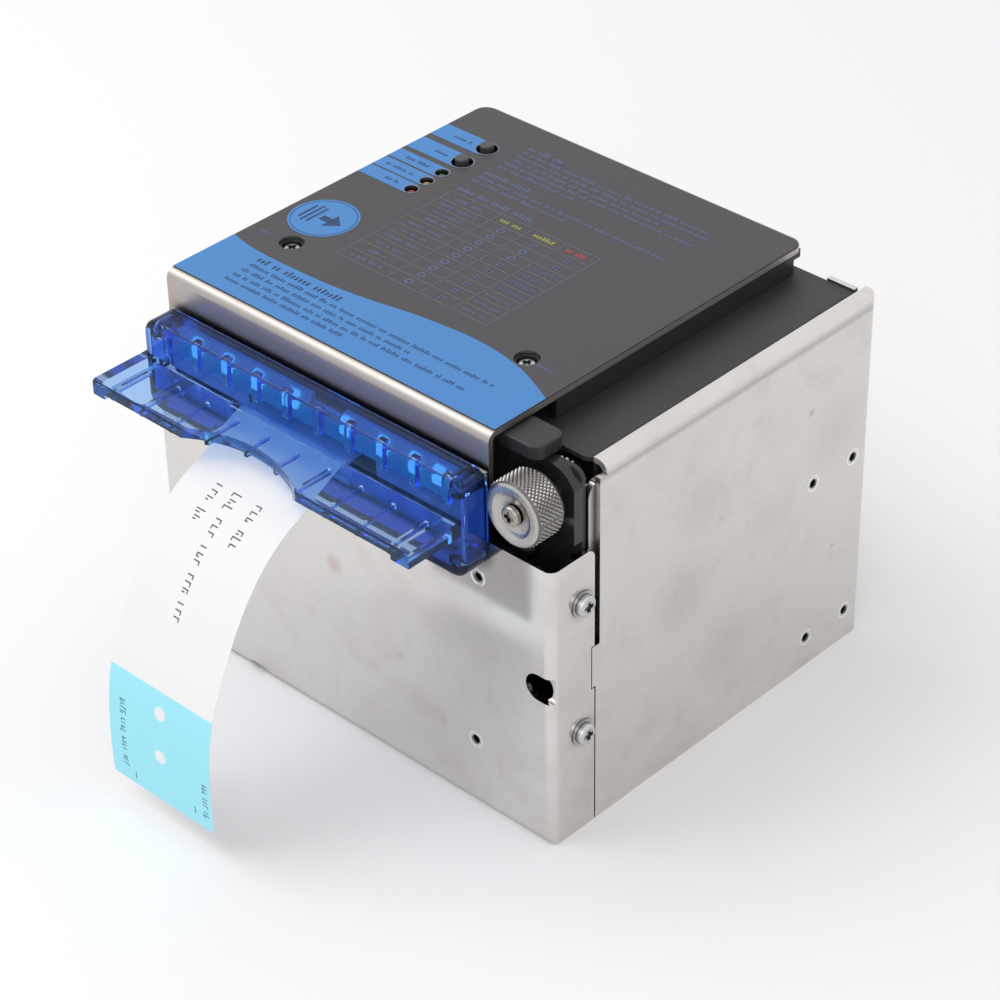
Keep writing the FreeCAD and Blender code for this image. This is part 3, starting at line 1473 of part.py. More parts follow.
def lever_spring():
    # Disc spring between the flange and the lever: a cone of thin sheet round the pin.
    bottom = cutter_frame_right_top + spring_end_gap
    top = lever_bottom - spring_end_gap
    inner = lever_pin_radius + lever_spring_fit
    outline = [(lever_spring_radius, bottom), (lever_spring_radius, bottom + lever_spring_sheet),
               (inner, top), (inner, top - lever_spring_sheet)]
    points = [Vector(lever_x + radius, lever_y, z) for radius, z in outline]
    face = Part.Face(Part.makePolygon(points + [points[0]]))
    return face.revolve(Vector(lever_x, lever_y, 0), Vector(0, 0, 1), 360)


def tie_rod_places():
    # Depth, height and radius of the guide bar and the two tie rods.
    return [(front + guide_bar_depth, paper_height - guide_bar_radius - platen_paper_gap, guide_bar_radius),
            (front + front_tie_depth, bay_top * front_tie_share, tie_rod_radius),
            (front + bay_rear_depth - rear_tie_gap, bay_top - rear_tie_drop, tie_rod_radius)]


def bay_wall(inner, outward):
    # Side of the paper bay: inner is the face toward the paper, outward the sign away from it.
    outer = inner + outward * bay_sheet
    xs = sorted((inner, outer))
    y0 = frame_rear
    y1 = front + bay_rear_depth
    wall = rounded_block(xs[0], xs[1], y0, y1, sheet, bay_top, bay_corner_radius,
                         lambda p: p.y > y1 - overrun and p.z > bay_top - overrun)
    foot_x = sorted((inner, outer + outward * bay_foot_width))
    foot = block(foot_x[0], foot_x[1], y0, y1, sheet, 2 * sheet)
    flange_x = sorted((outer, inner - outward * bay_flange_width))
    flange = block(flange_x[0], flange_x[1], y0, y0 + bay_sheet, bay_top * bay_flange_bottom_share,
                   bay_top * bay_flange_top_share)
    shape = join([wall, foot, flange])
    slot_radius = spindle_radius + spindle_slot_clearance
    x0, x1 = xs[0] - overrun, xs[1] + overrun
    spindle_y = front + roll_depth
    cuts = [rod_x(x0, x1, spindle_y, roll_height, slot_radius),
            block(x0, x1, spindle_y - slot_radius, spindle_y + slot_radius, roll_height, bay_top + overrun),
            rod_x(x0, x1, platen_y, platen_height, bush_radius)]
    cuts += [rod_x(x0, x1, y, z, radius * tie_rod_neck_share) for y, z, radius in tie_rod_places()]
    guide_x, guide_z = guide_places()[0]
    cuts.append(rod_y(y0 - overrun, y0 + bay_sheet + overrun, guide_x, guide_z, guide_screw_head_radius))
    return remove(shape, cuts)


def left_bay_wall():
    return bay_wall(bay_left, -1)


def right_bay_wall():
    return bay_wall(bay_right, 1)


def tie_rods():
    rods = []
    for y, z, radius in tie_rod_places():
        body = rod_x(bay_left, bay_right, y, z, radius)
        neck = rod_x(bay_left - bay_sheet - tie_rod_overhang, bay_right + bay_sheet + tie_rod_overhang, y, z,
                     radius * tie_rod_neck_share)
        rods.append(body.fuse(neck).removeSplitter())
    return group(rods)


def paper_roll():
    y = front + roll_depth
    roll = rod_x(paper_left, paper_right, y, roll_height, roll_radius)
    return roll.cut(rod_x(paper_left - overrun, paper_right + overrun, y, roll_height, core_radius))


def roll_core():
    y = front + roll_depth
    core = rod_x(paper_left, paper_right, y, roll_height, core_radius)
    return core.cut(rod_x(paper_left - overrun, paper_right + overrun, y, roll_height, core_bore_radius))


def roll_spindle():
    y = front + roll_depth
    reach = bay_sheet + spindle_overhang
    rod = rod_x(bay_left - reach, bay_right + reach, y, roll_height, spindle_radius)
    parts = [rod]
    for x0 in (paper_left - spindle_disc_gap - spindle_disc_thickness, paper_right + spindle_disc_gap):
        parts.append(rod_x(x0, x0 + spindle_disc_thickness, y, roll_height, spindle_disc_radius))
    return join(parts)


def web_solid(curve_points):
    # A strip of paper along a smooth line in the plane of Y and Z, given by points on its lower face.
    spline = Part.BSplineCurve()
    spline.interpolate([Vector(paper_left, y, z) for y, z in curve_points])
    count = 4 * len(curve_points)
    first, last = spline.FirstParameter, spline.LastParameter
    upper = []
    for index in range(count + 1):
        value = first + (last - first) * index / count
        point = spline.value(value)
        tangent = spline.tangent(value)[0]
        upper.append(point + Vector(0, tangent.z, -tangent.y) * paper_thickness)
    other = Part.BSplineCurve()
    other.interpolate(upper)
    edges = [spline.toShape(), Part.makeLine(spline.value(last), upper[-1]), other.toShape(),
             Part.makeLine(upper[0], spline.value(first))]
    return Part.Face(Part.Wire(edges)).extrude(Vector(paper_width, 0, 0))


def ticket():
    # The printed end, from its bridge at the cutter through the outlet and down in front of the case.
    points = [(blade_front - slit_gap, paper_height), (front, paper_height - paper_thickness),
              (front - slot_reach, slot_height)]
    points += [(front - ticket_reach * depth, slot_height * height)
               for depth, height in zip(ticket_depth_shares, ticket_height_shares)]
    bridge = block(paper_centre - bridge_width / 2, paper_centre + bridge_width / 2,
                   blade_front - slit_gap - bridge_root, carrier_front + slit_gap, paper_height,
                   paper_height + paper_thickness)
    return join([web_solid(points), bridge])


def paper_web():
    # From the cutter over the platen and the guide bar down to the top of the roll.
    bar_y, bar_z, bar_radius = tie_rod_places()[0]
    roll_y = front + roll_depth
    lift = bar_radius + platen_paper_gap
    reach = math.hypot(roll_y - bar_y, bar_z - roll_height)
    drop = math.atan2(bar_z - roll_height, roll_y - bar_y)
    slope = drop - math.asin((roll_radius + web_gap - lift) / reach)
    leave = (bar_y + lift * math.sin(slope), bar_z + lift * math.cos(slope))
    outer = roll_radius + web_gap
    land = (roll_y + outer * math.sin(slope), roll_height + outer * math.cos(slope))
    half = (bar_y + lift * math.sin(slope / 2), bar_z + lift * math.cos(slope / 2))
    y0 = carrier_front + slit_gap
    lower = [Vector(paper_left, y0, paper_height), Vector(paper_left, bar_y, paper_height),
             Vector(paper_left, half[0], half[1]), Vector(paper_left, leave[0], leave[1]),
             Vector(paper_left, land[0], land[1])]
    up = paper_thickness
    grown = (lift + up) / lift
    upper = [Vector(paper_left, y0, paper_height + up), Vector(paper_left, bar_y, paper_height + up)]
    upper.append(Vector(paper_left, bar_y + (half[0] - bar_y) * grown, bar_z + (half[1] - bar_z) * grown))
    upper.append(Vector(paper_left, bar_y + (leave[0] - bar_y) * grown, bar_z + (leave[1] - bar_z) * grown))
    upper.append(Vector(paper_left, land[0] + up * math.sin(slope), land[1] + up * math.cos(slope)))
    edges = web_edges(lower) + [Part.makeLine(lower[-1], upper[-1])] + web_edges(upper[::-1])
    edges.append(Part.makeLine(upper[0], lower[0]))
    return Part.Face(Part.Wire(edges)).extrude(Vector(paper_width, 0, 0))


def web_edges(points):
    # A line, the bend over the guide bar and a second line, through five points.
    return [Part.makeLine(points[0], points[1]), Part.Arc(points[1], points[2], points[3]).toShape(),
            Part.makeLine(points[3], points[4])]


def platen_roller():
    x0 = bay_left + platen_end_gap
    x1 = bay_right - platen_end_gap
    roller = rod_x(x0, x1, platen_y, platen_height, platen_radius)
    return roller.cut(rod_x(x0 - overrun, x1 + overrun, platen_y, platen_height, platen_shaft_radius))


def platen_gear_left():
    return bay_left - bay_sheet - bush_flange - gear_side_gap - gear_width


def platen_shaft():
    x0 = platen_gear_left() - platen_shaft_end
    x1 = bay_right + bay_sheet + bush_flange + platen_shaft_end
    return rod_x(x0, x1, platen_y, platen_height, platen_shaft_radius)


def platen_bushes():
    bushes = []
    for inner, outward in ((bay_left, -1), (bay_right, 1)):
        outer = inner + outward * bay_sheet
        tip = outer + outward * bush_flange
        body = sorted((inner, outer))
        collar = sorted((outer, tip))
        bush = rod_x(body[0], body[1], platen_y, platen_height, bush_radius)
        bush = bush.fuse(rod_x(collar[0], collar[1], platen_y, platen_height, bush_flange_radius))
        bush = bush.removeSplitter()
        bushes.append(bush.cut(rod_x(body[0] - bay_side_gap, body[1] + bay_side_gap, platen_y, platen_height,
                                     platen_shaft_radius + shaft_fit)))
    return group(bushes)


def platen_gear():
    # A tooth points at the motor pinion.
    return gear_x(platen_gear_left(), gear_width, platen_y, platen_height, platen_gear_teeth, gear_module,
                  platen_shaft_radius, feed_motor_angle)


def feed_motor_place():
    distance = platen_gear_radius + motor_pinion_radius + gear_centre_clearance
    angle = math.radians(feed_motor_angle)
    return platen_y + distance * math.cos(angle), platen_height + distance * math.sin(angle)


def feed_motor_face():
    return platen_gear_left() - motor_face_gap


def feed_motor_pinion():
    y, z = feed_motor_place()
    turn = feed_motor_angle + 180 + 180 / motor_pinion_teeth
    pinion = gear_x(platen_gear_left(), gear_width, y, z, motor_pinion_teeth, gear_module, 0, turn)
    shaft = rod_x(feed_motor_face() - motor_shaft_depth, platen_gear_left() + gear_width, y, z,
                  motor_shaft_radius)
    return pinion.fuse(shaft)


def feed_motor():
    y, z = feed_motor_place()
    face = feed_motor_face()
    wall_face = -side + top_flange_width + panel_clearance + chassis_sheet
    length = (face - wall_face) * feed_motor_room_share
    can = rod_x(face - length, face - motor_root, y, z, feed_motor_radius)
    parts = [can, rod_x(face - motor_plate, face, y, z, feed_motor_radius + feed_motor_rim)]
    for sign in (-1, 1):
        ez = z + sign * motor_ear_reach
        parts.append(rod_x(face - motor_plate, face, y, ez, motor_ear_radius))
        ears = sorted((z, ez))
        parts.append(block(face - motor_plate, face, y - motor_ear_radius, y + motor_ear_radius, ears[0],
                           ears[1]))
        parts.append(rod_x(face - motor_root, bay_left - bay_sheet, y, ez, motor_leg_radius))
    motor = join(parts)
    return motor.cut(rod_x(face - motor_shaft_depth - motor_bore_clearance, face + overrun, y, z,
                           motor_shaft_radius + motor_bore_clearance))


def head_span():
    return bay_left + head_end_gap, bay_right - head_end_gap


def head_stud_places():
    x0, x1 = head_span()
    y = front + head_front_depth + head_depth / 2
    return [(x0 + head_stud_inset, y), (x1 - head_stud_inset, y)]


def head_levels():
    # Underside of the head, underside and top of its block, underside and top of the bracket.
    bottom = paper_height + paper_thickness + head_paper_gap
    plate = bottom + head_plate_thickness
    bracket_top = web_bottom - cover_boss_height
    bracket_bottom = bracket_top - head_bracket_sheet
    return bottom, plate, plate + (bracket_bottom - plate) * head_room_share, bracket_bottom, bracket_top


def print_head():
    x0, x1 = head_span()
    bottom, plate = head_levels()[:2]
    return block(x0, x1, front + head_front_depth, front + head_front_depth + head_depth, bottom, plate)


def head_block():
    # Aluminium block over the print head, with cooling grooves and two guide studs.
    x0, x1 = head_span()
    y0 = front + head_front_depth
    plate, top, _, bracket_high = head_levels()[1:]
    body = block(x0, x1, y0, y0 + head_depth, plate, top)
    groove_pitch = (head_depth - head_fin_gap) / (head_fin_count - 1)
    grooves = []
    middle = (x0 + x1) / 2
    half = (x1 - x0) / 2 - 2 * head_stud_inset
    for index in range(head_fin_count):
        y = y0 + index * groove_pitch
        if 0 < index < head_fin_count - 1:
            grooves.append(block(middle - half, middle + half, y, y + head_fin_gap,
                                 top - (top - plate) * head_fin_depth_share, top + overrun))
    body = remove(body, grooves)
    studs = [rod_z(top - overrun, bracket_high + head_stud_proud, x, y, head_stud_radius)
             for x, y in head_stud_places()]
    return join([body] + studs)


def head_bracket():
    # Steel bracket on the cover screws, with a tongue over the print head.
    low, high = head_levels()[3:]
    y0 = cover_screw_y - head_bracket_overhang
    y1 = cover_screw_y + head_bracket_overhang
    x0, x1 = head_span()
    bar = rounded_block(cover_screw_x[0] - head_bracket_overhang, cover_screw_x[1] + head_bracket_overhang,
                        y0, y1, low, high, head_bracket_overhang / 2,
                        lambda p: abs(p.z - (low + high) / 2) < head_bracket_sheet / 4)
    tongue = block(x0, x1, front + head_front_depth, y0 + head_bracket_lap, low, high)
    cuts = [rod_z(low - overrun, high + overrun, x, y, head_stud_radius + head_stud_fit)
            for x, y in head_stud_places()]
    cuts += [rod_z(low - overrun, high + overrun, x, cover_screw_y, cover_screw_radius)
             for x in cover_screw_x]
    return remove(join([bar, tongue]), cuts)


def head_springs():
    # A bow of spring steel on each stud, between the block and the bracket.
    block_top, bracket_bottom = head_levels()[2:4]
    bottom = block_top + spring_end_gap
    top = bracket_bottom - spring_end_gap
    bows = []
    for x, y in head_stud_places():
        y0 = y - head_spring_width / 2
        feet, crowns = [], []
        for reach, crown in ((head_spring_reach, top), (head_spring_reach - head_spring_sheet,
                                                        top - head_spring_sheet)):
            feet.append((Vector(x - reach, y0, bottom), Vector(x + reach, y0, bottom)))
            crowns.append(Vector(x, y0, crown))
        outer = Part.Arc(feet[0][0], crowns[0], feet[0][1]).toShape()
        inner = Part.Arc(feet[1][1], crowns[1], feet[1][0]).toShape()
        edges = [outer, Part.makeLine(feet[0][1], feet[1][1]), inner, Part.makeLine(feet[1][0], feet[0][0])]
        bow = Part.Face(Part.Wire(edges)).extrude(Vector(0, head_spring_width, 0))
        bows.append(bow.cut(rod_z(bottom, top + overrun, x, y, head_stud_radius + head_stud_fit)))
    return group(bows)


def board_span():
    x0 = bay_right + bay_sheet + board_left_gap
    x1 = side - top_flange_width - panel_clearance - chassis_sheet - board_right_gap
    y0 = front + board_front_depth
    y1 = rear - rear_panel_inset - sheet - board_rear_gap
    return x0, x1, y0, y1


def standoff_places():
    x0, x1, y0, y1 = board_span()
    side_x = (x0 + standoff_inset, x1 - standoff_inset)
    side_y = (y0 + standoff_inset, y1 - data_socket_length - standoff_inset)
    return [(x, y) for x in side_x for y in side_y]


def main_board():
    x0, x1, y0, y1 = board_span()
    top = board_height + board_thickness
    parts = [block(x0, x1, y0, y1, board_height, top)]
    chip_x = (x0 + x1) / 2 - chip_size / 2
    parts.append(block(chip_x, chip_x + chip_size, y0 + chip_size, y0 + 2 * chip_size, top - part_root,
                       top + chip_height))
    for step in (1, 2):
        parts.append(rod_z(top - part_root, top + capacitor_height, x1 - 2 * capacitor_radius,
                           y0 + (step + 1) * chip_size, capacitor_radius))
    board = join(parts)
    hole_radius = screw_radius + screw_hole_clearance
    return remove(board, [rod_z(board_height - overrun, top + overrun, x, y, hole_radius)
                          for x, y in standoff_places()])


def board_standoffs():
    # Posts under the board, each with a neck through it and a head on top.
    top = board_height + board_thickness
    posts = []
    for x, y in standoff_places():
        post = rod_z(sheet, board_height, x, y, standoff_radius)
        neck = rod_z(board_height - overrun, top, x, y, screw_radius)
        head = rod_z(top, top + standoff_head, x, y, standoff_radius)
        posts.append(join([post, neck, head]))
    return group(posts)


def socket_shell(index, length):
    x, width, height = socket_openings()[index]
    bottom = board_height + board_thickness
    y1 = rear - rear_panel_inset + socket_proud
    shell = block(x, x + width, y1 - length, y1, bottom, bottom + height)
    room = block(x + socket_wall, x + width - socket_wall, y1 - length + 2 * socket_wall, y1 + overrun,
                 bottom + socket_wall, bottom + height - socket_wall)
    return shell.cut(room), x + width / 2, bottom + height / 2, y1


def rear_sockets():
    # Data socket with its tongue, and power socket with its two pins.
    data_shell, x, z, y1 = socket_shell(0, data_socket_length)
    recess = y1 - socket_proud - socket_recess
    tongue_half = socket_openings()[0][1] * data_tongue_share
    tongue = block(x - tongue_half, x + tongue_half, y1 - data_socket_length + socket_wall, recess,
                   z - socket_wall, z + socket_wall)
    power_shell, x, z, y1 = socket_shell(1, power_socket_length)
    offset = socket_openings()[1][1] * power_pin_share
    pins = [rod_y(y1 - power_socket_length + socket_wall, recess, x + sign * offset, z, power_pin_radius)
            for sign in (-1, 1)]
    return group([join([data_shell, tongue]), join([power_shell] + pins)])


def left_side_panel():
    return mirrored(right_side_panel())


def feed_button():
    return push_button(feed_button_depth)


def cut_button():
    return push_button(cut_button_depth)


def status_light_green():
    return status_light(green_light_depth)


def status_light_yellow():
    return status_light(yellow_light_depth)


def status_light_red():
    return status_light(red_light_depth)


MAKERS = (front_housing, left_side_panel, right_side_panel, rear_panel, inner_chassis, side_screws,
          threaded_inserts, bezel, bezel_bracket, bezel_screws, light_board, bezel_lights,
          cover_plate, cover_overlay, cover_frame, cover_screws, button_board, feed_button,
          cut_button, status_light_green, status_light_yellow, status_light_red, release_lever, lever_pin,
          lever_spring, knob, knob_screw, knob_shaft, gear_cover, cutter_frame, cutter_pinion, drive_gear,
          cutter_motor, cutter_motor_pinion, blade_carrier, moving_blade, fixed_blade, moving_blade_screws,
          cutter_screws, left_bay_wall, right_bay_wall, tie_rods, platen_roller,
          platen_shaft, platen_bushes, platen_gear, feed_motor, feed_motor_pinion, paper_roll, roll_core,
          roll_spindle, paper_web, ticket, print_head, head_block, head_bracket, head_springs,
          main_board, board_standoffs, rear_sockets)


def main():
    os.makedirs("parts", exist_ok=True)
    for maker in MAKERS:
        name = maker.__name__
        shape = maker()
        if not shape.isValid():
            print("not valid:", name)
        print(name, len(shape.Solids), "solids, volume", round(shape.Volume, 1))
        shape.exportStep("parts/" + name + ".step")


main()
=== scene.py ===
import math
import random

import bmesh
import bpy
from bpy.props import FloatProperty, FloatVectorProperty, IntProperty, PointerProperty
from mathutils import Matrix, Vector
from mathutils.bvhtree import BVHTree


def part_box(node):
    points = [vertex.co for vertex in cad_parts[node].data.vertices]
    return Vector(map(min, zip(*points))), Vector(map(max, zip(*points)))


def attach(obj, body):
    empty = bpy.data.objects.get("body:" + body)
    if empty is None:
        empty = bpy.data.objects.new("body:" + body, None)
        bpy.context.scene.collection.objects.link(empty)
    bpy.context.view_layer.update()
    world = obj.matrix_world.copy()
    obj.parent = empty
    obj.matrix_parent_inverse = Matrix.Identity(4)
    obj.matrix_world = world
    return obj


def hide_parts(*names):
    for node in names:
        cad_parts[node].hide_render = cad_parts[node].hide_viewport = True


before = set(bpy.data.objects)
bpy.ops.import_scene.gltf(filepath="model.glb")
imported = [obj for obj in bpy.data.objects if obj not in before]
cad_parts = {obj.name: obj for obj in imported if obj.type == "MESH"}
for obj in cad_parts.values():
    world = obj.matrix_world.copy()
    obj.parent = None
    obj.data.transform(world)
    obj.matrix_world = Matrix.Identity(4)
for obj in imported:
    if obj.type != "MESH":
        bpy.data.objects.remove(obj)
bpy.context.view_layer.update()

bl_info = {
    "name": "Ticket printer",
    "version": (1, 0, 0),
    "blender": (4, 5, 0),
    "location": "3D View > Sidebar > Ticket printer",
    "description": "Dresses the frame of a ticket printer in a steel case with a lighted outlet",
    "category": "Object",
}

MM = 0.001

# Thickness of drawn print, and its gap to what carries it, in millimetres
PRINT_LIFT = 0.015
PRINT_THICKNESS = 0.03


def corners_of(node):
    """Lowest and highest corner of a node, in millimetres."""
    low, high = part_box(node)
    return low / MM, high / MM


def middle_of(node):
    low, high = corners_of(node)
    return (low + high) / 2


LABEL_LOW, LABEL_HIGH = corners_of("cover_overlay")


# ---------------------------------------------------------------- shader maths


WHITE = (1.0, 1.0, 1.0)
SKY_SAMPLES = 6
# The Mix node's sockets for its factor, its two colours and its result
COLOUR_MIX_INPUTS = (0, 6, 7)
COLOUR_MIX_OUTPUT = 2


class Wire:
    """An output of a node. Arithmetic on it adds Math nodes to its graph."""

    def __init__(self, graph, socket):
        self.graph = graph
        self.socket = socket

    def maths(self, operation, *values, clamp=False):
        settings = {"operation": operation, "use_clamp": clamp}
        return self.graph.node("ShaderNodeMath", settings, dict(enumerate(values)))

    def root(self):
        return self.maths("SQRT", self)

    def __add__(self, other):
        return self.maths("ADD", self, other)

    def __radd__(self, other):
        return self.maths("ADD", other, self)

    def __sub__(self, other):
        return self.maths("SUBTRACT", self, other)

    def __rsub__(self, other):
        return self.maths("SUBTRACT", other, self)

    def __mul__(self, other):
        return self.maths("MULTIPLY", self, other)

    def __rmul__(self, other):
        return self.maths("MULTIPLY", other, self)

    def above(self, level, softness):
        """0 below the level and 1 above it, with a soft step."""
        return self.maths("MULTIPLY", self - (level - softness / 2), 1 / softness, clamp=True)

    def below(self, level, softness):
        """1 below the level and 0 above it, with a soft step."""
        return 1 - self.above(level, softness)

    def higher(self, other):
        return self.maths("MAXIMUM", self, other)


class Graph:
    """The nodes of a material or of the world."""

    def __init__(self, tree):
        self.tree = tree
        self.tree.nodes.clear()

    def node(self, kind, settings=None, values=None, output=0):
        node = self.tree.nodes.new(kind)
        for key, value in (settings or {}).items():
            setattr(node, key, value)
        for key, value in (values or {}).items():
            if isinstance(value, Wire):
                self.tree.links.new(value.socket, node.inputs[key])
            else:
                node.inputs[key].default_value = value
        return Wire(self, node.outputs[output]) if len(node.outputs) else None


class Finish(Graph):
    """A named surface finish, built from nodes."""

    def __init__(self, name):
        self.material = bpy.data.materials.new(name)
        self.material.use_nodes = True
        super().__init__(self.material.node_tree)
        self.place = self.node("ShaderNodeTexCoord", output="Object")

    def stretched(self, sizes):
        """Object coordinates counted in cells of the given sizes, in millimetres."""
        scale = tuple(1 / (size * MM) for size in sizes)
        return self.node("ShaderNodeMapping", {}, {"Vector": self.place, "Scale": scale})

    def noise(self, size, detail=2.0, roughness=0.5, distortion=0.0, seed=0.0):
        """Smooth noise between 0 and 1 with cells of one size or of a size for each axis."""
        sizes = size if isinstance(size, tuple) else (size, size, size)
        place = self.stretched(sizes)
        if seed:
            shift = (seed, seed * 2, -seed)
            place = self.node("ShaderNodeVectorMath", {"operation": "ADD"}, {0: place, 1: shift})
        values = {"Vector": place, "Scale": 1.0, "Detail": detail, "Roughness": roughness,
                  "Distortion": distortion}
        return self.node("ShaderNodeTexNoise", {}, values)

    def axis(self, name):
        """One of the object coordinates, in millimetres."""
        split = self.node("ShaderNodeSeparateXYZ", {}, {0: self.place}, output=name)
        return split * (1 / MM)

    def facing(self, name):
        """How far the surface faces along one of the object's axes, from -1 to 1."""
        turned = self.node("ShaderNodeTexCoord", output="Normal")
        return self.node("ShaderNodeSeparateXYZ", {}, {0: turned}, output=name)

    def spot(self, first, second, centre, radius, softness):
        """1 inside a round spot in the plane of two axes, and 0 outside it."""
        return self.from_axis(first, second, centre).below(radius, softness)

    def open_sky(self, distance):
        """1 where the surface is open, and less in corners closer than a distance in millimetres."""
        values = {"Distance": distance * MM}
        return self.node("ShaderNodeAmbientOcclusion", {"samples": SKY_SAMPLES}, values, output="AO")

    def from_axis(self, first, second, centre):
        """Distance from an axis through a centre in the plane of two axes, in millimetres."""
        across = self.axis(first) - centre[0]
        along = self.axis(second) - centre[1]
        return (across * across + along * along).root()

    def mix(self, factor, first, second):
        values = dict(zip(COLOUR_MIX_INPUTS, (factor, opaque(first), opaque(second))))
        return self.node("ShaderNodeMix", {"data_type": "RGBA"}, values, output=COLOUR_MIX_OUTPUT)

    def bump(self, height, distance, strength=1.0):
        """A normal raised by a height of 0 to 1 times a distance in millimetres."""
        values = {"Height": height, "Distance": distance * MM, "Strength": strength}
        return self.node("ShaderNodeBump", {}, values)

    def shine(self, **values):
        """The closing shader, by the names of its sockets with underscores for spaces."""
        inputs = {key.replace("_", " "): value for key, value in values.items()}
        for key, value in inputs.items():
            if key.endswith("Color"):
                inputs[key] = opaque(value)
        shader = self.node("ShaderNodeBsdfPrincipled", {}, inputs)
        self.node("ShaderNodeOutputMaterial", {}, {"Surface": shader})
        return self.material


def opaque(colour):
    """A colour with full alpha; a wire stays as it is."""
    return colour if isinstance(colour, Wire) else (*colour[:3], 1.0)


def shade(colour, factor):
    return tuple(channel * factor for channel in colour[:3])


def from_screen(red, green, blue):
    """A colour as it is seen on a screen, from 0 to 255, as the shader's numbers."""
    channels = []
    for value in (red, green, blue):
        value = value / 255
        channels.append(value / 12.92 if value <= 0.04045 else ((value + 0.055) / 1.055) ** 2.4)
    return tuple(channels)


# ---------------------------------------------------------------- finishes


# Colour of the painted shade in the joints and corners of the sheets
JOINT_SHADE_COLOUR = (0.02, 0.02, 0.02)


def sheet_steel(name, colour, stain, roughness, marks=(), bend_height=None):
    """Cold rolled stainless sheet: fine grain, soft stains from handling, a few hairlines.

    A mark is two axes, its centre on them in millimetres, its radius and how strong it is. A line of
    painted shade runs along a bend, at a height in millimetres, and painted shade darkens the joints.
    """
    finish = Finish(name)
    stains = finish.noise(26.0, detail=4.0, roughness=0.62, distortion=0.6).above(0.57, 0.22)
    small_stains = finish.noise(9.0, detail=3.0, roughness=0.6, distortion=0.4, seed=3.1).above(0.62, 0.16)
    ragged = finish.noise(3.2, detail=3.0, roughness=0.6, seed=2.6)
    grain = finish.noise((0.9, 0.9, 0.16), detail=3.0, roughness=0.6, seed=1.3)
    hairlines = finish.noise((60.0, 60.0, 0.35), seed=7.7).above(0.66, 0.05)
    mask = stains * 0.32 + small_stains * 0.18
    for first, second, centre, radius, strength in marks:
        round_mark = finish.spot(first, second, centre, radius, radius * 1.2)
        mask = mask.higher(round_mark * (ragged * 0.9 + 0.45) * strength)
    base = finish.mix(mask, colour, stain)
    base = finish.mix(grain * 0.10 + hairlines * 0.05, base, shade(colour, 0.72))
    if bend_height:
        height = finish.axis("Z")
        # Painted shade: a dark band just below the rounded bend
        bend = height.above(bend_height - 1.0, 1.2) * height.below(bend_height + 0.5, 0.9)
        base = finish.mix(bend * 0.42, base, shade(colour, 0.35))
    # Painted shade in the joints between sheets and in other corners, but not at the foot, where the floor
    # would count as one
    painted_joint_shade = finish.open_sky(3.0).below(0.62, 0.7) * finish.axis("Z").above(3.5, 5.0)
    base = finish.mix(painted_joint_shade, base, JOINT_SHADE_COLOUR)
    rough = roughness + grain * roughness * 0.25 + mask * 0.10 - hairlines * roughness * 0.2
    height = grain * 0.6 + finish.noise(0.25, seed=5.0) * 0.4
    normal = finish.bump(height, 0.006, roughness * 1.6)
    return finish.shine(Base_Color=base, Metallic=1.0, Roughness=rough, Normal=normal)


def bright_steel(name, colour, roughness, painted_corner_shade=1.0):
    """Turned or plated steel of small parts, with shade painted into their corners, as strong as the last
    argument says.
    """
    finish = Finish(name)
    turning = finish.noise((0.25, 0.25, 0.25), roughness=0.6)
    spots = finish.noise(1.6, detail=3.0, roughness=0.6, seed=2.2).above(0.6, 0.2)
    base = finish.mix(spots * 0.35 + turning * 0.1, colour, shade(colour, 0.6))
    # Painted shade in the corners, from how open the surface is
    if painted_corner_shade:
        base = finish.mix(finish.open_sky(0.8).below(0.6, 0.8) * painted_corner_shade, base, shade(colour, 0.08))
    return finish.shine(Base_Color=base, Metallic=1.0, Roughness=roughness + turning * 0.12,
                        Normal=finish.bump(turning, 0.01, 0.4))


def knurled_metal(name, colour, roughness, centre, low_radius, high_radius):
    """Nickel plated knob: painted shade in the grooves between the diamonds and in its corners, the points
    left bright.
    """
    finish = Finish(name)
    turning = finish.noise((0.25, 0.25, 0.25), roughness=0.6)
    haze = finish.noise(5.0, seed=3.7)
    height = finish.from_axis("X", "Z", centre)
    point = height.above((low_radius + high_radius) / 2, high_radius - low_radius)
    # Painted shade: the grooves between the diamonds are darkened
    painted_groove_shade = height.above(low_radius - 0.25, 0.1) * (1 - point)
    base = finish.mix(haze * 0.3 + turning * 0.1, colour, shade(colour, 0.7))
    base = finish.mix(painted_groove_shade * 0.75, base, shade(colour, 0.16))
    # Painted shade in the knob's corners
    base = finish.mix(finish.open_sky(1.2).below(0.55, 0.7), base, shade(colour, 0.1))
    return finish.shine(Base_Color=base, Metallic=1.0, Roughness=roughness + turning * 0.1,
                        Normal=finish.bump(turning, 0.01, 0.3))


def black_coat(name, colour, roughness, pebble):
    """Black powder coat with a fine pebble, lighter where it is rubbed."""
    finish = Finish(name)
    pebbles = finish.noise(pebble, detail=3.0, roughness=0.55)
    dust = finish.noise(14.0, detail=4.0, roughness=0.6, seed=4.4).above(0.55, 0.3)
    base = finish.mix(pebbles.above(0.55, 0.3) * 0.25 + dust * 0.2, colour, shade(colour, 2.1))
    return finish.shine(Base_Color=base, Roughness=roughness + pebbles * 0.18,
                        Normal=finish.bump(pebbles, 0.08, 0.6))


def moulded_plastic(name, colour, roughness, texture=0.35):
    finish = Finish(name)
    fine = finish.noise(texture, detail=3.0)
    broad = finish.noise(12.0, seed=6.1)
    base = finish.mix(broad * 0.3, colour, shade(colour, 1.25))
    return finish.shine(Base_Color=base, Roughness=roughness + fine * 0.15,
                        Normal=finish.bump(fine, 0.02, 0.5))


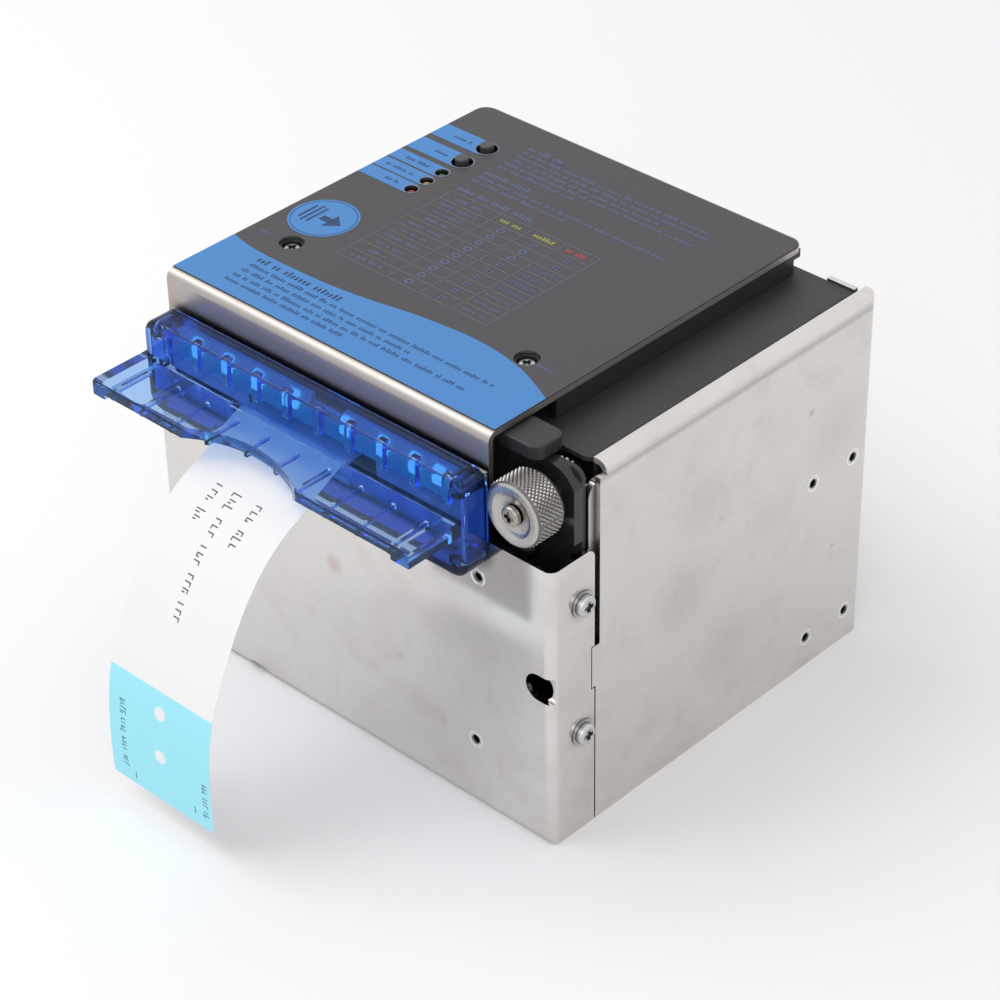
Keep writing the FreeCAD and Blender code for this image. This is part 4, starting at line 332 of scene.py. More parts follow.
def printed_film(name, colour, roughness):
    """Ink on the matt film of the label."""
    finish = Finish(name)
    ink = finish.noise(0.8, detail=3.0, roughness=0.6)
    broad = finish.noise(30.0, detail=3.0, seed=9.0)
    base = finish.mix(ink * 0.08 + broad * 0.12, colour, shade(colour, 0.82))
    return finish.shine(Base_Color=base, Roughness=roughness + ink * 0.1, Specular_IOR_Level=0.3,
                        Normal=finish.bump(ink, 0.004, 0.4))


FLOW_MARK = (0.1, 0.25, 0.7)


def clear_plastic(name, colour, thin_colour, front, roughness, ior):
    """Tinted see-through plastic with faint flow marks and scuffs, lighter where it is thin, in front."""
    finish = Finish(name)
    colour = finish.mix(finish.axis("Y").below(front, 0.8), colour, thin_colour)
    flow = finish.noise((16.0, 16.0, 4.0), distortion=0.8)
    scuffs = finish.noise((3.0, 0.4, 3.0), detail=3.0, roughness=0.6, seed=8.2).above(0.64, 0.1)
    base = finish.mix(flow * 0.15, colour, FLOW_MARK)
    return finish.shine(Base_Color=base, Roughness=roughness + scuffs * 0.12, IOR=ior,
                        Transmission_Weight=0.97, Normal=finish.bump(flow, 0.05, 0.3))


CHIP = (0.03, 0.03, 0.03)


def circuit_board(name, colour, top):
    """Solder mask with printed tracks below a level, and dark parts above it."""
    finish = Finish(name)
    height = finish.axis("Z")
    tracks = finish.node("ShaderNodeTexBrick", {"offset": 0.35, "squash": 1.4},
                         {"Vector": finish.stretched((3.0, 2.2, 3.0)), "Scale": 1.0, "Mortar Size": 0.03,
                          "Mortar Smooth": 0.2}, output="Fac")
    mask = finish.noise(0.5)
    base = finish.mix(tracks * 0.6 + mask * 0.1, colour, shade(colour, 0.45))
    parts = height.above(top, 0.02)
    base = finish.mix(parts, base, CHIP)
    return finish.shine(Base_Color=base, Roughness=0.35 + mask * 0.15, Normal=finish.bump(tracks, 0.03, 0.5))


def paper_stock(name, colour):
    finish = Finish(name)
    fibres = finish.noise((0.25, 0.5, 0.5), detail=4.0, roughness=0.65)
    broad = finish.noise(18.0, seed=2.9)
    base = finish.mix(fibres * 0.05 + broad * 0.05, colour, shade(colour, 0.86))
    return finish.shine(Base_Color=base, Roughness=0.75, Normal=finish.bump(fibres, 0.01, 0.5))


def ticket_paper(name, paper, band, band_top, holes):
    """Thermal paper with a coloured end on its outer face, and round white spots in it."""
    finish = Finish(name)
    fibres = finish.noise((0.5, 0.25, 0.5), detail=4.0, roughness=0.65)
    broad = finish.noise(18.0, seed=2.9)
    base = finish.mix(fibres * 0.05 + broad * 0.05, paper, shade(paper, 0.88))
    coloured = finish.axis("Z").below(band_top, 0.25) * finish.facing("Y").below(0.0, 0.1)
    for centre, radius in holes:
        coloured = coloured * (1 - finish.spot("X", "Z", centre, radius, 0.7))
    base = finish.mix(coloured, base, band)
    return finish.shine(Base_Color=base, Roughness=0.55 + fibres * 0.2, Specular_IOR_Level=0.3,
                        Normal=finish.bump(fibres, 0.01, 0.5))


def glowing_lens(name, colour, glow, strength):
    finish = Finish(name)
    body = finish.noise(0.7)
    base = finish.mix(body * 0.3, colour, shade(colour, 0.7))
    light = finish.mix(body * 0.3, glow, shade(glow, 0.8))
    return finish.shine(Base_Color=base, Roughness=0.25 + body * 0.1, Emission_Color=light,
                        Emission_Strength=strength)


# ---------------------------------------------------------------- mesh helpers


def link_piece(name, bm, body, finish, sharp_angle=30.0, replaced=()):
    """Close a bmesh into an object that rides on a body, smooth but for its sharp edges."""
    limit = math.radians(sharp_angle)
    for edge in bm.edges:
        edge.smooth = len(edge.link_faces) == 2 and edge.calc_face_angle(0) < limit
    for face in bm.faces:
        face.smooth = True
    mesh = bpy.data.meshes.new(name)
    bm.to_mesh(mesh)
    bm.free()
    mesh.transform(Matrix.Scale(MM, 4))
    mesh.materials.append(finish)
    piece = bpy.data.objects.new(name, mesh)
    bpy.context.scene.collection.objects.link(piece)
    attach(piece, body)
    if replaced:
        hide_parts(*replaced)
    return piece


def add_bar(bm, low, high):
    """A bar between two corners, in millimetres."""
    low, high = Vector(low), Vector(high)
    size = high - low
    matrix = Matrix.Translation((low + high) / 2) @ Matrix.Diagonal(size).to_4x4()
    return bmesh.ops.create_cube(bm, size=1.0, matrix=matrix)["verts"]


def add_ring(bm, centre, radius, width, steps):
    """A printed ring round a centre, lying in the plane of X and Y."""
    x, y, z = centre
    inner, outer, top = radius - width / 2, radius + width / 2, z + PRINT_THICKNESS
    corners = [(inner, z), (outer, z), (outer, top), (inner, top)]
    verts = [bm.verts.new((x + r, y, height)) for r, height in corners]
    edges = [bm.edges.new((verts[i], verts[i - 1])) for i in range(len(verts))]
    before = set(bm.faces)
    bmesh.ops.spin(bm, geom=verts + edges, cent=(x, y, z), axis=(0, 0, 1), angle=math.tau, steps=steps,
                   use_merge=True)
    bmesh.ops.recalc_face_normals(bm, faces=[face for face in bm.faces if face not in before])


def add_plate(bm, outline, bottom, top):
    """A flat plate with the given outline of X and Y."""
    face = bm.faces.new([bm.verts.new((x, y, bottom)) for x, y in outline])
    made = bmesh.ops.extrude_face_region(bm, geom=[face])["geom"]
    moved = [item for item in made if isinstance(item, bmesh.types.BMVert)]
    bmesh.ops.translate(bm, vec=(0, 0, top - bottom), verts=moved)
    faces = {face} | {linked for vert in moved for linked in vert.link_faces}
    bmesh.ops.recalc_face_normals(bm, faces=list(faces))


# Points of a turned part that lie nearer than this are one, in millimetres
MERGE_DISTANCE = 0.0005


def turned_profile(bm, profile, centre, axis, steps):
    """A turned part: a profile of (radius, height) spun round an axis through the centre."""
    turn = Vector((0, 0, 1)).rotation_difference(Vector(axis)).to_matrix().to_4x4()
    place = Matrix.Translation(centre) @ turn
    verts = [bm.verts.new((radius, 0, height)) for radius, height in profile]
    edges = [bm.edges.new((first, second)) for first, second in zip(verts, verts[1:])]
    known = set(bm.verts) - set(verts)
    bmesh.ops.spin(bm, geom=verts + edges, cent=(0, 0, 0), axis=(0, 0, 1), angle=math.tau, steps=steps,
                   use_merge=True)
    made = [vert for vert in bm.verts if vert not in known]
    bmesh.ops.remove_doubles(bm, verts=made, dist=MERGE_DISTANCE)
    made = [vert for vert in bm.verts if vert not in known]
    faces = list({face for vert in made for face in vert.link_faces})
    bmesh.ops.recalc_face_normals(bm, faces=faces)
    bmesh.ops.transform(bm, matrix=place, verts=made)


def dress(finish, *nodes):
    """Give CAD nodes a finish."""
    for name in nodes:
        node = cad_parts[name]
        for slot in node.material_slots:
            slot.material = finish
        if not node.material_slots:
            node.data.materials.append(finish)


# ---------------------------------------------------------------- settings


def colour_property(name, description, default):
    return FloatVectorProperty(name=name, description=description, subtype="COLOR", size=3, min=0, max=1,
                               default=default)


class CaseSettings(bpy.types.PropertyGroup):
    steel: colour_property("Steel", "Colour of the sheet steel", (0.71, 0.69, 0.675))
    stain: colour_property("Stain", "Colour of the handling stains", (0.55, 0.48, 0.455))
    side_roughness: FloatProperty(name="Side roughness", description="Roughness of the side panels",
                                  default=0.27, min=0, max=1)
    front_roughness: FloatProperty(name="Front roughness", description="Roughness of the front housing",
                                   default=0.055, min=0, max=1)
    coat: colour_property("Coat", "Colour of the black coat", (0.022, 0.022, 0.023))
    plastic: colour_property("Plastic", "Colour of the black plastic", (0.016, 0.016, 0.017))


class LabelSettings(bpy.types.PropertyGroup):
    ground: colour_property("Ground", "Colour of the label's ground", from_screen(72, 70, 73))
    blue: colour_property("Blue", "Colour of the printed band and tags", from_screen(70, 132, 196))
    dark_print: colour_property("Dark print", "Colour of the print on blue", from_screen(40, 64, 104))
    light_print: colour_property("Light print", "Colour of the print on grey", from_screen(86, 100, 136))
    lines: colour_property("Lines", "Colour of the table's lines", from_screen(100, 102, 112))
    # The rings round the holes are a painted highlight of their rims
    rings: colour_property("Rings", "Colour of the rings round the holes", from_screen(122, 130, 152))
    line: FloatProperty(name="Line", description="Width of the table's lines, in millimetres", default=0.28)


class BezelSettings(bpy.types.PropertyGroup):
    plastic: colour_property("Plastic", "Tint of the see-through body", (0.13, 0.31, 0.85))
    shelf: colour_property("Shelf", "Tint of the thin shelf", (0.36, 0.57, 0.9))
    reach: FloatProperty(name="Reach", description="Reach of the shelf, in millimetres", default=17.2)
    roughness: FloatProperty(name="Roughness", description="Roughness of the plastic", default=0.035,
                             min=0, max=1)
    ior: FloatProperty(name="Index", description="Index of refraction", default=1.28, min=1, max=2)
    board: colour_property("Board", "Colour of the light board", (0.12, 1.0, 0.78))


class KnobSettings(bpy.types.PropertyGroup):
    around: IntProperty(name="Around", description="Diamonds round the grip", default=44, min=12, max=90)
    rows: IntProperty(name="Rows", description="Diamonds along the grip", default=6, min=3, max=20)
    depth: FloatProperty(name="Depth", description="Depth of the knurl, in millimetres", default=0.38)
    metal: colour_property("Metal", "Colour of the knob", (0.5, 0.482, 0.462))


class TicketSettings(bpy.types.PropertyGroup):
    paper: colour_property("Paper", "Colour of the ticket", (0.86, 0.85, 0.85))
    band: colour_property("Band", "Colour of the printed end", from_screen(160, 230, 246))
    band_top: FloatProperty(name="Band top", description="Height of the printed end, in millimetres",
                            default=39.0)
    ink: colour_property("Ink", "Colour of the thermal print", (0.07, 0.07, 0.075))


class StudioSettings(bpy.types.PropertyGroup):
    floor: colour_property("Floor", "Colour of the floor", (0.93, 0.93, 0.93))
    sky: FloatProperty(name="Sky", description="Strength of the light from all round", default=0.72)
    key: FloatProperty(name="Key", description="Power of the large soft lamp", default=6.0, unit="POWER")
    fill: FloatProperty(name="Fill", description="Power of the lamp at the front", default=2.0, unit="POWER")


class PrinterSettings(bpy.types.PropertyGroup):
    case: PointerProperty(type=CaseSettings)
    label: PointerProperty(type=LabelSettings)
    bezel: PointerProperty(type=BezelSettings)
    knob: PointerProperty(type=KnobSettings)
    ticket: PointerProperty(type=TicketSettings)
    studio: PointerProperty(type=StudioSettings)


# ---------------------------------------------------------------- operators


class STUDIO_OT_ticket_printer(bpy.types.Operator):
    """Floor, sky, lamps and camera"""
    bl_idname = "scene.ticket_printer_studio"
    bl_label = "Studio"

    floor_size = 4.0
    aim = Vector((0.0, 0.0, 0.05))
    sensor = 36.0
    lens = 115.42
    camera_place = (0.46701, -0.49310, 0.51726)
    camera_right = (0.72898149, 0.68438532, -0.01423815)
    camera_up = (-0.38501106, 0.42711988, 0.81812902)
    camera_back = (0.56599688, -0.59091907, 0.5748584)

    def execute(self, context):
        settings = context.scene.ticket_printer.studio
        self.make_floor(settings)
        self.make_sky(settings)
        self.make_lamp("key_lamp", place=(-0.55, -0.35, 1.05), size=0.9, power=settings.key)
        self.make_lamp("fill_lamp", place=(0.75, -0.85, 0.75), size=0.8, power=settings.fill)
        self.make_camera(context)
        context.scene.view_settings.view_transform = "Standard"
        return {"FINISHED"}

    def make_floor(self, settings):
        bm = bmesh.new()
        bmesh.ops.create_grid(bm, x_segments=1, y_segments=1, size=self.floor_size)
        mesh = bpy.data.meshes.new("floor")
        bm.to_mesh(mesh)
        bm.free()
        finish = Finish("studio_floor")
        soft = finish.noise(400.0)
        base = finish.mix(soft * 0.05, settings.floor, shade(settings.floor, 0.97))
        mesh.materials.append(finish.shine(Base_Color=base, Roughness=0.9, Specular_IOR_Level=0.1))
        floor = bpy.data.objects.new("floor", mesh)
        bpy.context.scene.collection.objects.link(floor)

    def make_sky(self, settings):
        """Light from all round, seen as white by the camera, in reflections and through the plastic."""
        world = bpy.data.worlds.new("studio_sky")
        bpy.context.scene.world = world
        world.use_nodes = True
        sky = Graph(world.node_tree)
        camera, glossy, through = (sky.node("ShaderNodeLightPath", output=f"Is {kind} Ray")
                                   for kind in ("Camera", "Glossy", "Transmission"))
        light, white = (sky.node("ShaderNodeBackground", {}, {"Color": opaque(WHITE), "Strength": strength})
                        for strength in (settings.sky, 1.0))
        seen = camera.higher(glossy).higher(through)
        mixed = sky.node("ShaderNodeMixShader", {}, {0: seen, 1: light, 2: white})
        sky.node("ShaderNodeOutputWorld", {}, {"Surface": mixed})

    def make_lamp(self, name, place, size, power):
        light = bpy.data.lights.new(name, "AREA")
        light.shape = "SQUARE"
        light.size = size
        light.energy = power
        lamp = bpy.data.objects.new(name, light)
        lamp.location = place
        lamp.rotation_euler = (self.aim - Vector(place)).to_track_quat("-Z", "Y").to_euler()
        bpy.context.scene.collection.objects.link(lamp)

    def make_camera(self, context):
        """The photograph's view, from its fitted place and directions."""
        data = bpy.data.cameras.new("camera")
        data.sensor_width = self.sensor
        data.lens = self.lens
        camera = bpy.data.objects.new("camera", data)
        turn = Matrix((self.camera_right, self.camera_up, self.camera_back)).transposed().to_4x4()
        camera.matrix_world = Matrix.Translation(self.camera_place) @ turn
        context.scene.collection.objects.link(camera)
        context.scene.camera = camera


class CASE_OT_ticket_printer(bpy.types.Operator):
    """Steel sheets of the case with their screws and inserts"""
    bl_idname = "scene.ticket_printer_case"
    bl_label = "Case"

    # Stains, as sheet_steel takes them
    side_marks = (("Y", "Z", (-13.0, 51.0), 9.0, 0.45), ("Y", "Z", (-6.0, 75.0), 8.0, 0.4),
                  ("Y", "Z", (45.0, 70.0), 10.0, 0.35), ("Y", "Z", (4.0, 25.0), 9.0, 0.4),
                  ("Y", "Z", (35.0, 80.0), 1.0, 1.0), ("Y", "Z", (46.2, 33.8), 0.6, 1.0))
    front_marks = (("X", "Z", (-5.0, 49.5), 2.3, 0.9), ("X", "Z", (17.0, 32.8), 1.2, 0.7))
    # Depth below the side panels' top of the painted shade band along their bend
    bend_depth = 3.2
    # Radius and depth below the sheet's face, round a clinch nut's face and down its hole
    insert_profile = ((2.4, -0.01), (2.35, -0.06), (2.05, -0.06), (1.3, 0.32), (1.3, 1.45), (1.95, 1.45),
                      (1.95, -0.01), (2.4, -0.01))
    insert_steps = 32
    side_insert_reach = 10

    def execute(self, context):
        settings = context.scene.ticket_printer.case
        bend_height = corners_of("right_side_panel")[1].z - self.bend_depth
        steel, stain, roughness = settings.steel, settings.stain, settings.side_roughness
        dress(sheet_steel("side_steel", steel, stain, roughness, self.side_marks, bend_height),
              "left_side_panel", "right_side_panel")
        dress(sheet_steel("rear_steel", steel, stain, roughness), "rear_panel")
        dress(sheet_steel("front_steel", steel, stain, settings.front_roughness, self.front_marks),
              "front_housing")
        dress(sheet_steel("cover_steel", (0.46, 0.43, 0.405), (0.40, 0.36, 0.33), 0.36), "cover_plate")
        dress(bright_steel("zinc_plate", (0.60, 0.61, 0.60), 0.18), "side_screws", "threaded_inserts",
              "bezel_screws", "cover_screws", "board_standoffs", "bezel_bracket")
        dress(black_coat("black_coat", settings.coat, 0.42, 0.55), "inner_chassis", "cutter_frame")
        dress(moulded_plastic("black_plastic", settings.plastic, 0.35), "cover_frame", "release_lever")
        dress(moulded_plastic("black_gloss", settings.plastic, 0.12, 0.8), "gear_cover")
        self.make_insert_faces(bright_steel("insert_zinc", (0.90, 0.91, 0.90), 0.10, 0.0))
        return {"FINISHED"}

    def make_insert_faces(self, finish):
        """The flush face of each clinch nut: a countersunk ring in the hole of its sheet."""
        bm = bmesh.new()
        for centre, axis in self.insert_places():
            turned_profile(bm, self.insert_profile, centre, axis, self.insert_steps)
        link_piece("insert_faces", bm, "case", finish, sharp_angle=35.0)

    def insert_places(self):
        """Where each clinch nut's axis leaves the outer face of its sheet, and the way in."""
        front, side = corners_of("front_housing")[0].y, corners_of("right_side_panel")[1].x
        shape = bmesh.new()
        shape.from_mesh(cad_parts["threaded_inserts"].data)
        bmesh.ops.remove_doubles(shape, verts=list(shape.verts), dist=0.01 * MM)
        left = set(shape.verts)
        places = []
        while left:
            island = self.island_of(left.pop())
            left -= island
            low, high = (Vector(end(vert.co[i] for vert in island) for i in range(3)) for end in (min, max))
            centre = (low + high) / 2 / MM
            if abs(centre.x) > side - self.side_insert_reach:
                way = 1 if centre.x > 0 else -1
                places.append(((way * side, centre.y, centre.z), (-way, 0, 0)))
            else:
                places.append(((centre.x, front, centre.z), (0, 1, 0)))
        shape.free()
        return sorted(places)

    def island_of(self, start):
        found, edge = {start}, [start]
        while edge:
            vert = edge.pop()
            for link in vert.link_edges:
                other = link.other_vert(vert)
                if other not in found:
                    found.add(other)
                    edge.append(other)
        return found


class LABEL_OT_ticket_printer(bpy.types.Operator):
    """Printed label on the upper cover: ground, band, tags, table and lines"""
    bl_idname = "scene.ticket_printer_label"
    bl_label = "Label"

    # X and Y along the rear edge of the band
    band_edge = ((-62.2, -35.2), (-55.7, -36.6), (-47.0, -37.1), (-39.0, -37.0), (-26.5, -36.4),
                 (-14.0, -34.7), (-1.5, -32.3), (11.0, -30.9), (19.3, -30.7), (27.7, -31.6), (36.0, -33.7),
                 (46.8, -38.4))
    band_steps = 60
    # The node in each hole, the radius that the tag leaves free, and the tag's rear and front edge
    tags = (("feed_button", 2.95, 42.0, 35.2), ("cut_button", 2.95, 32.8, 26.2),
            ("status_light_green", 1.85, 24.3, 19.5), ("status_light_yellow", 1.85, 18.8, 13.8),
            ("status_light_red", 1.85, 13.2, 8.3))
    tag_steps = 14
    tag_margin = 0.05
    ring_gap = 0.18
    ring_width = 0.3
    ring_steps = 32
    disc_centre = (-51.1, -14.7)
    disc_radius = 9.3
    disc_steps = 64
    # Print in groups of strokes: first and last X, Y of the foot, height. Its place in a list is its seed
    dark_lines = ((-48.4, -18.6, -40.6, 2.1), (-48.2, 34.5, -43.3, 1.35), (-48.2, 10.2, -46.1, 1.35),
                  (-48.2, 31.4, -48.9, 1.35), (-48.4, -6.9, -51.6, 1.35))
    tag_lines = ((-56.0, -49.6, 37.7, 1.4), (-54.2, -49.6, 28.7, 1.4), (-57.6, -49.4, 21.3, 1.3),
                 (-59.4, -49.4, 15.7, 1.3), (-54.4, -49.4, 10.1, 1.3))
    light_lines = ((-36.7, -22.4, 45.5, 1.9), (-36.5, 27.7, 43.1, 1.3), (-36.5, 28.3, 40.8, 1.3),
                   (-36.5, 14.7, 38.4, 1.3), (-36.5, 28.3, 36.0, 1.3), (-36.5, -9.8, 33.6, 1.3),
                   (-36.7, -20.6, 28.8, 1.9), (-36.5, 27.0, 26.3, 1.3), (-36.5, -4.4, 23.9, 1.3),
                   (-36.5, -9.4, 18.3, 1.9), (-58.9, -53.0, -29.7, 1.2), (35.6, 42.2, -29.7, 1.2))
    # Lines of the table. Its first row of cells holds the heads
    columns = (-36.4167, -19.0, -7.75, 3.3333, 14.5833)
    rows = (16.75, 12.3333, 8.4167, 4.5, 0.5, -3.6667, -7.6667, -11.8333, -16.0, -20.1667, -24.5)
    # Column and row of the marks in the cells
    ring_cells = [(0, row) for row in range(9)] + [(1, 1), (1, 2)]
    cross_cells = [(1, row) for row in (0, 3, 4, 5, 6, 7, 8)] + [(2, 0), (2, 1)]
    pulse_rows = range(2, 6)
    worded_rows = range(6, 9)
    # Seeds of the strokes in the last column, in the first, in its head and in the other heads
    last_seed, first_seed, corner_seed, head_seed = 61, 81, 99, 101
    heads = (("green", 1, from_screen(150, 160, 70)), ("yellow", 2, from_screen(160, 160, 70)),
             ("red", 3, from_screen(190, 60, 60)))

    def execute(self, context):
        settings = context.scene.ticket_printer.label
        self.low = LABEL_HIGH.z + PRINT_LIFT
        self.high = self.low + PRINT_THICKNESS
        dress(printed_film("label_ground", settings.ground, 0.42), "cover_overlay")
        blue = printed_film("label_blue", settings.blue, 0.4)
        dark = printed_film("label_dark_print", settings.dark_print, 0.45)
        light = printed_film("label_light_print", settings.light_print, 0.45)
        self.make_band(blue)
        # The lighter rings round the holes are painted highlights on their rims
        self.make_tags(blue, printed_film("label_rim_highlights", settings.rings, 0.45))
        self.make_disc(blue, dark)
        self.make_lines("label_dark_lines", dark, self.high, ((1, self.dark_lines), (11, self.tag_lines)))
        self.make_lines("label_light_lines", light, self.low, ((31, self.light_lines),))
        self.make_table_lines(settings.line / 2, printed_film("label_table_lines", settings.lines, 0.45))
        self.make_table(light)
        for name, column, colour in self.heads:
            self.make_head(name, column, printed_film("label_" + name, colour, 0.45))
        return {"FINISHED"}

    def printed(self, name, bm, finish):
        return link_piece(name, bm, "cover", finish)

    def make_band(self, finish):
        """The band across the front, with its rear edge on a long curve."""
        bm = bmesh.new()
        made = bmesh.ops.create_grid(bm, x_segments=self.band_steps, y_segments=1, size=0.5)
        for vert in made["verts"]:
            x = LABEL_LOW.x + (vert.co.x + 0.5) * (LABEL_HIGH.x - LABEL_LOW.x)
            vert.co = (x, smooth_between(self.band_edge, x) if vert.co.y > 0 else LABEL_LOW.y, self.low)
        made = bmesh.ops.extrude_face_region(bm, geom=list(bm.faces))["geom"]
        moved = [item for item in made if isinstance(item, bmesh.types.BMVert)]
        bmesh.ops.translate(bm, vec=(0, 0, PRINT_THICKNESS), verts=moved)
        bmesh.ops.recalc_face_normals(bm, faces=list(bm.faces))
        self.printed("label_band", bm, finish)

    def make_tags(self, finish, rim_highlight_finish):
        """A tag from the left edge to each button and light, hollowed round its hole, with a painted
        highlight ring on the hole's rim.
        """
        bm = bmesh.new()
        rings = bmesh.new()
        left = LABEL_LOW.x + self.tag_margin
        for node, radius, rear, front in self.tags:
            centre = middle_of(node)
            # An edge that passes the hole goes on to its middle, a quarter turn from where the hollow begins
            reach = [min(1.0, distance / radius) for distance in (rear - centre.y, centre.y - front)]
            first, last = math.pi - math.asin(reach[0]), math.pi + math.asin(reach[1])
            outline = [(left, front), (left, rear)]
            if reach[0] == 1.0:
                outline.append((centre.x, rear))
            for index in range(self.tag_steps + 1):
                angle = first + (last - first) * index / self.tag_steps
                outline.append((centre.x + radius * math.cos(angle), centre.y + radius * math.sin(angle)))
            if reach[1] == 1.0:
                outline.append((centre.x, front))
            add_plate(bm, outline, self.low, self.high)
            # A lighter ring round the hole: a painted highlight on its rim
            add_ring(rings, (centre.x, centre.y, self.high), radius + self.ring_gap, self.ring_width,
                     self.ring_steps)
        self.printed("label_tags", bm, finish)
        self.printed("label_rim_highlights", rings, rim_highlight_finish)

    def make_disc(self, blue, dark):
        """The round sign at the left, with a plain arrow on it."""
        x, y = self.disc_centre
        radius, top = self.disc_radius, self.high + PRINT_THICKNESS
        angles = [math.tau * index / self.disc_steps for index in range(self.disc_steps)]
        bm = bmesh.new()
        outline = [(x + radius * math.cos(angle), y + radius * math.sin(angle)) for angle in angles]
        add_plate(bm, outline, self.low, self.high)
        self.printed("label_disc", bm, blue)
        bm = bmesh.new()
        add_ring(bm, (x, y, self.high), radius - 0.7, 0.22, self.disc_steps)
        tip, root, tail, width, shaft = 6.0, 2.2, -0.8, 3.2, 1.1
        add_plate(bm, [(x + root, y - width), (x + tip, y), (x + root, y + width)], self.high, top)
        add_bar(bm, (x + tail, y - shaft, self.high), (x + root, y + shaft, top))
        for left, half in ((-6.0, 3.4), (-4.4, 4.4), (-2.8, 4.0)):
            add_bar(bm, (x + left, y - half, self.high), (x + left + 0.7, y + half, top))
        self.printed("label_disc_mark", bm, dark)

    def make_words(self, bm, x0, x1, y, height, seed, level):
        """A line of plain strokes in groups."""
        draw = random.Random(seed)
        pitch = height * 0.62
        low_height, stroke, space, tall_share = height * 0.72, pitch * 0.55, pitch * 1.1, 0.3
        x = x0
        while x < x1 - pitch:
            for _ in range(draw.randint(2, 8)):
                if x > x1 - pitch:
                    break
                tall = height if draw.random() < tall_share else low_height
                add_bar(bm, (x, y, level), (x + stroke, y + tall, level + PRINT_THICKNESS))
                x += pitch
            x += space

    def make_lines(self, name, finish, level, groups):
        """Lines of print as one piece: groups of a first seed and its lines."""
        bm = bmesh.new()
        for first_seed, lines in groups:
            for seed, (x0, x1, y, height) in enumerate(lines, first_seed):
                self.make_words(bm, x0, x1, y, height, seed, level)
        self.printed(name, bm, finish)

    def make_table_lines(self, half, finish):
        columns, rows = self.columns, self.rows
        bm = bmesh.new()
        for x in columns:
            add_bar(bm, (x - half, rows[-1] - half, self.low), (x + half, rows[0] + half, self.high))
        for y in rows:
            add_bar(bm, (columns[0], y - half, self.low), (columns[-1], y + half, self.high))
        self.printed("label_table_lines", bm, finish)

    def row_middle(self, row):
        return (self.rows[row + 1] + self.rows[row + 2]) / 2

    def cell_middle(self, column, row):
        return (self.columns[column + 1] + self.columns[column + 2]) / 2, self.row_middle(row)

    def make_table(self, finish):
        """Rings and crosses in the cells, pulses in the last column, strokes in it and in the first."""
        columns, rows = self.columns, self.rows
        bm = bmesh.new()
        for cell in self.ring_cells:
            add_ring(bm, (*self.cell_middle(*cell), self.low), radius=0.92, width=0.46, steps=16)
        for cell in self.cross_cells:
            self.add_cross(bm, *self.cell_middle(*cell), half=1.05)
        margin = 1.2
        x0, x1 = columns[3] + margin, columns[4] - margin
        for row in self.pulse_rows:
            self.add_pulses(bm, x0, x1, self.row_middle(row), 3 + row)
        for row in self.worded_rows:
            self.make_words(bm, x0, x1, self.row_middle(row) - 0.5, 1.1, row + self.last_seed, self.low)
        for row in range(len(rows) - 2):
            inset = 2.2 + (row * 7 % 5) * 0.7
            self.make_words(bm, columns[0] + inset, columns[1] - inset, self.row_middle(row) - 0.6, 1.25,
                            row + self.first_seed, self.low)
        self.make_words(bm, columns[0] + 4, columns[1] - 4, rows[1] + 1.5, 1.3, self.corner_seed, self.low)
        self.printed("label_table", bm, finish)

    def make_head(self, name, column, finish):
        margin, rise, height = 2.0, 1.4, 1.6
        bm = bmesh.new()
        self.make_words(bm, self.columns[column] + margin, self.columns[column + 1] - margin,
                        self.rows[1] + rise, height, column + self.head_seed, self.low)
        self.printed("label_head_" + name, bm, finish)

    def add_cross(self, bm, x, y, half):
        half_stroke = 0.24
        for turn in (1, -1):
            verts = add_bar(bm, (-half, -half_stroke, self.low), (half, half_stroke, self.high))
            matrix = Matrix.Translation((x, y, 0)) @ Matrix.Rotation(turn * math.pi / 4, 4, "Z")
            bmesh.ops.transform(bm, matrix=matrix, verts=verts)

    def add_pulses(self, bm, x0, x1, y, count):
        """A square wave: up, along the top, down, along the foot."""
        half, stroke, pitch = 0.8, 0.22, (x1 - x0) / count
        low, high = y - half, y + half
        for index in range(count):
            left = x0 + index * pitch
            middle = left + pitch / 2
            for corner, opposite in (((left, low), (left + stroke, high)),
                                     ((left, high - stroke), (middle, high)),
                                     ((middle, low), (middle + stroke, high)),
                                     ((middle, low), (left + pitch, low + stroke))):
                add_bar(bm, (*corner, self.low), (*opposite, self.high))


def smooth_between(points, x):
    """A smooth line through points of X and Y, read at one X."""
    for index in range(len(points) - 1):
        x0, y0 = points[index]
        x1, y1 = points[index + 1]
        if x <= x1 or index == len(points) - 2:
            before = points[index - 1] if index else points[index]
            after = points[index + 2] if index < len(points) - 2 else points[index + 1]
            slope0 = (y1 - before[1]) / (x1 - before[0])
            slope1 = (after[1] - y0) / (after[0] - x0)
            span = x1 - x0
            t = (x - x0) / span
            return ((2 * t ** 3 - 3 * t ** 2 + 1) * y0 + (t ** 3 - 2 * t ** 2 + t) * span * slope0
                    + (3 * t ** 2 - 2 * t ** 3) * y1 + (t ** 3 - t ** 2) * span * slope1)
    return points[-1][1]


class BUTTONS_OT_ticket_printer(bpy.types.Operator):
    """Push buttons, status lights and their board"""
    bl_idname = "scene.ticket_printer_buttons"
    bl_label = "Buttons and lights"

    lenses = {"green": (0.03, 0.13, 0.055), "yellow": (0.24, 0.19, 0.07), "red": (0.22, 0.045, 0.035)}
    lens_strength = 0.12
    # Height of the board's face, which its parts stand above
    board_top = 103.62

    def execute(self, context):
        dress(moulded_plastic("button_plastic", (0.045, 0.041, 0.04), 0.3), "feed_button", "cut_button")
        for name, colour in self.lenses.items():
            dress(glowing_lens("lens_" + name, colour, colour, self.lens_strength), "status_light_" + name)
        dress(circuit_board("button_board_mask", (0.02, 0.12, 0.07), self.board_top), "button_board")
        return {"FINISHED"}


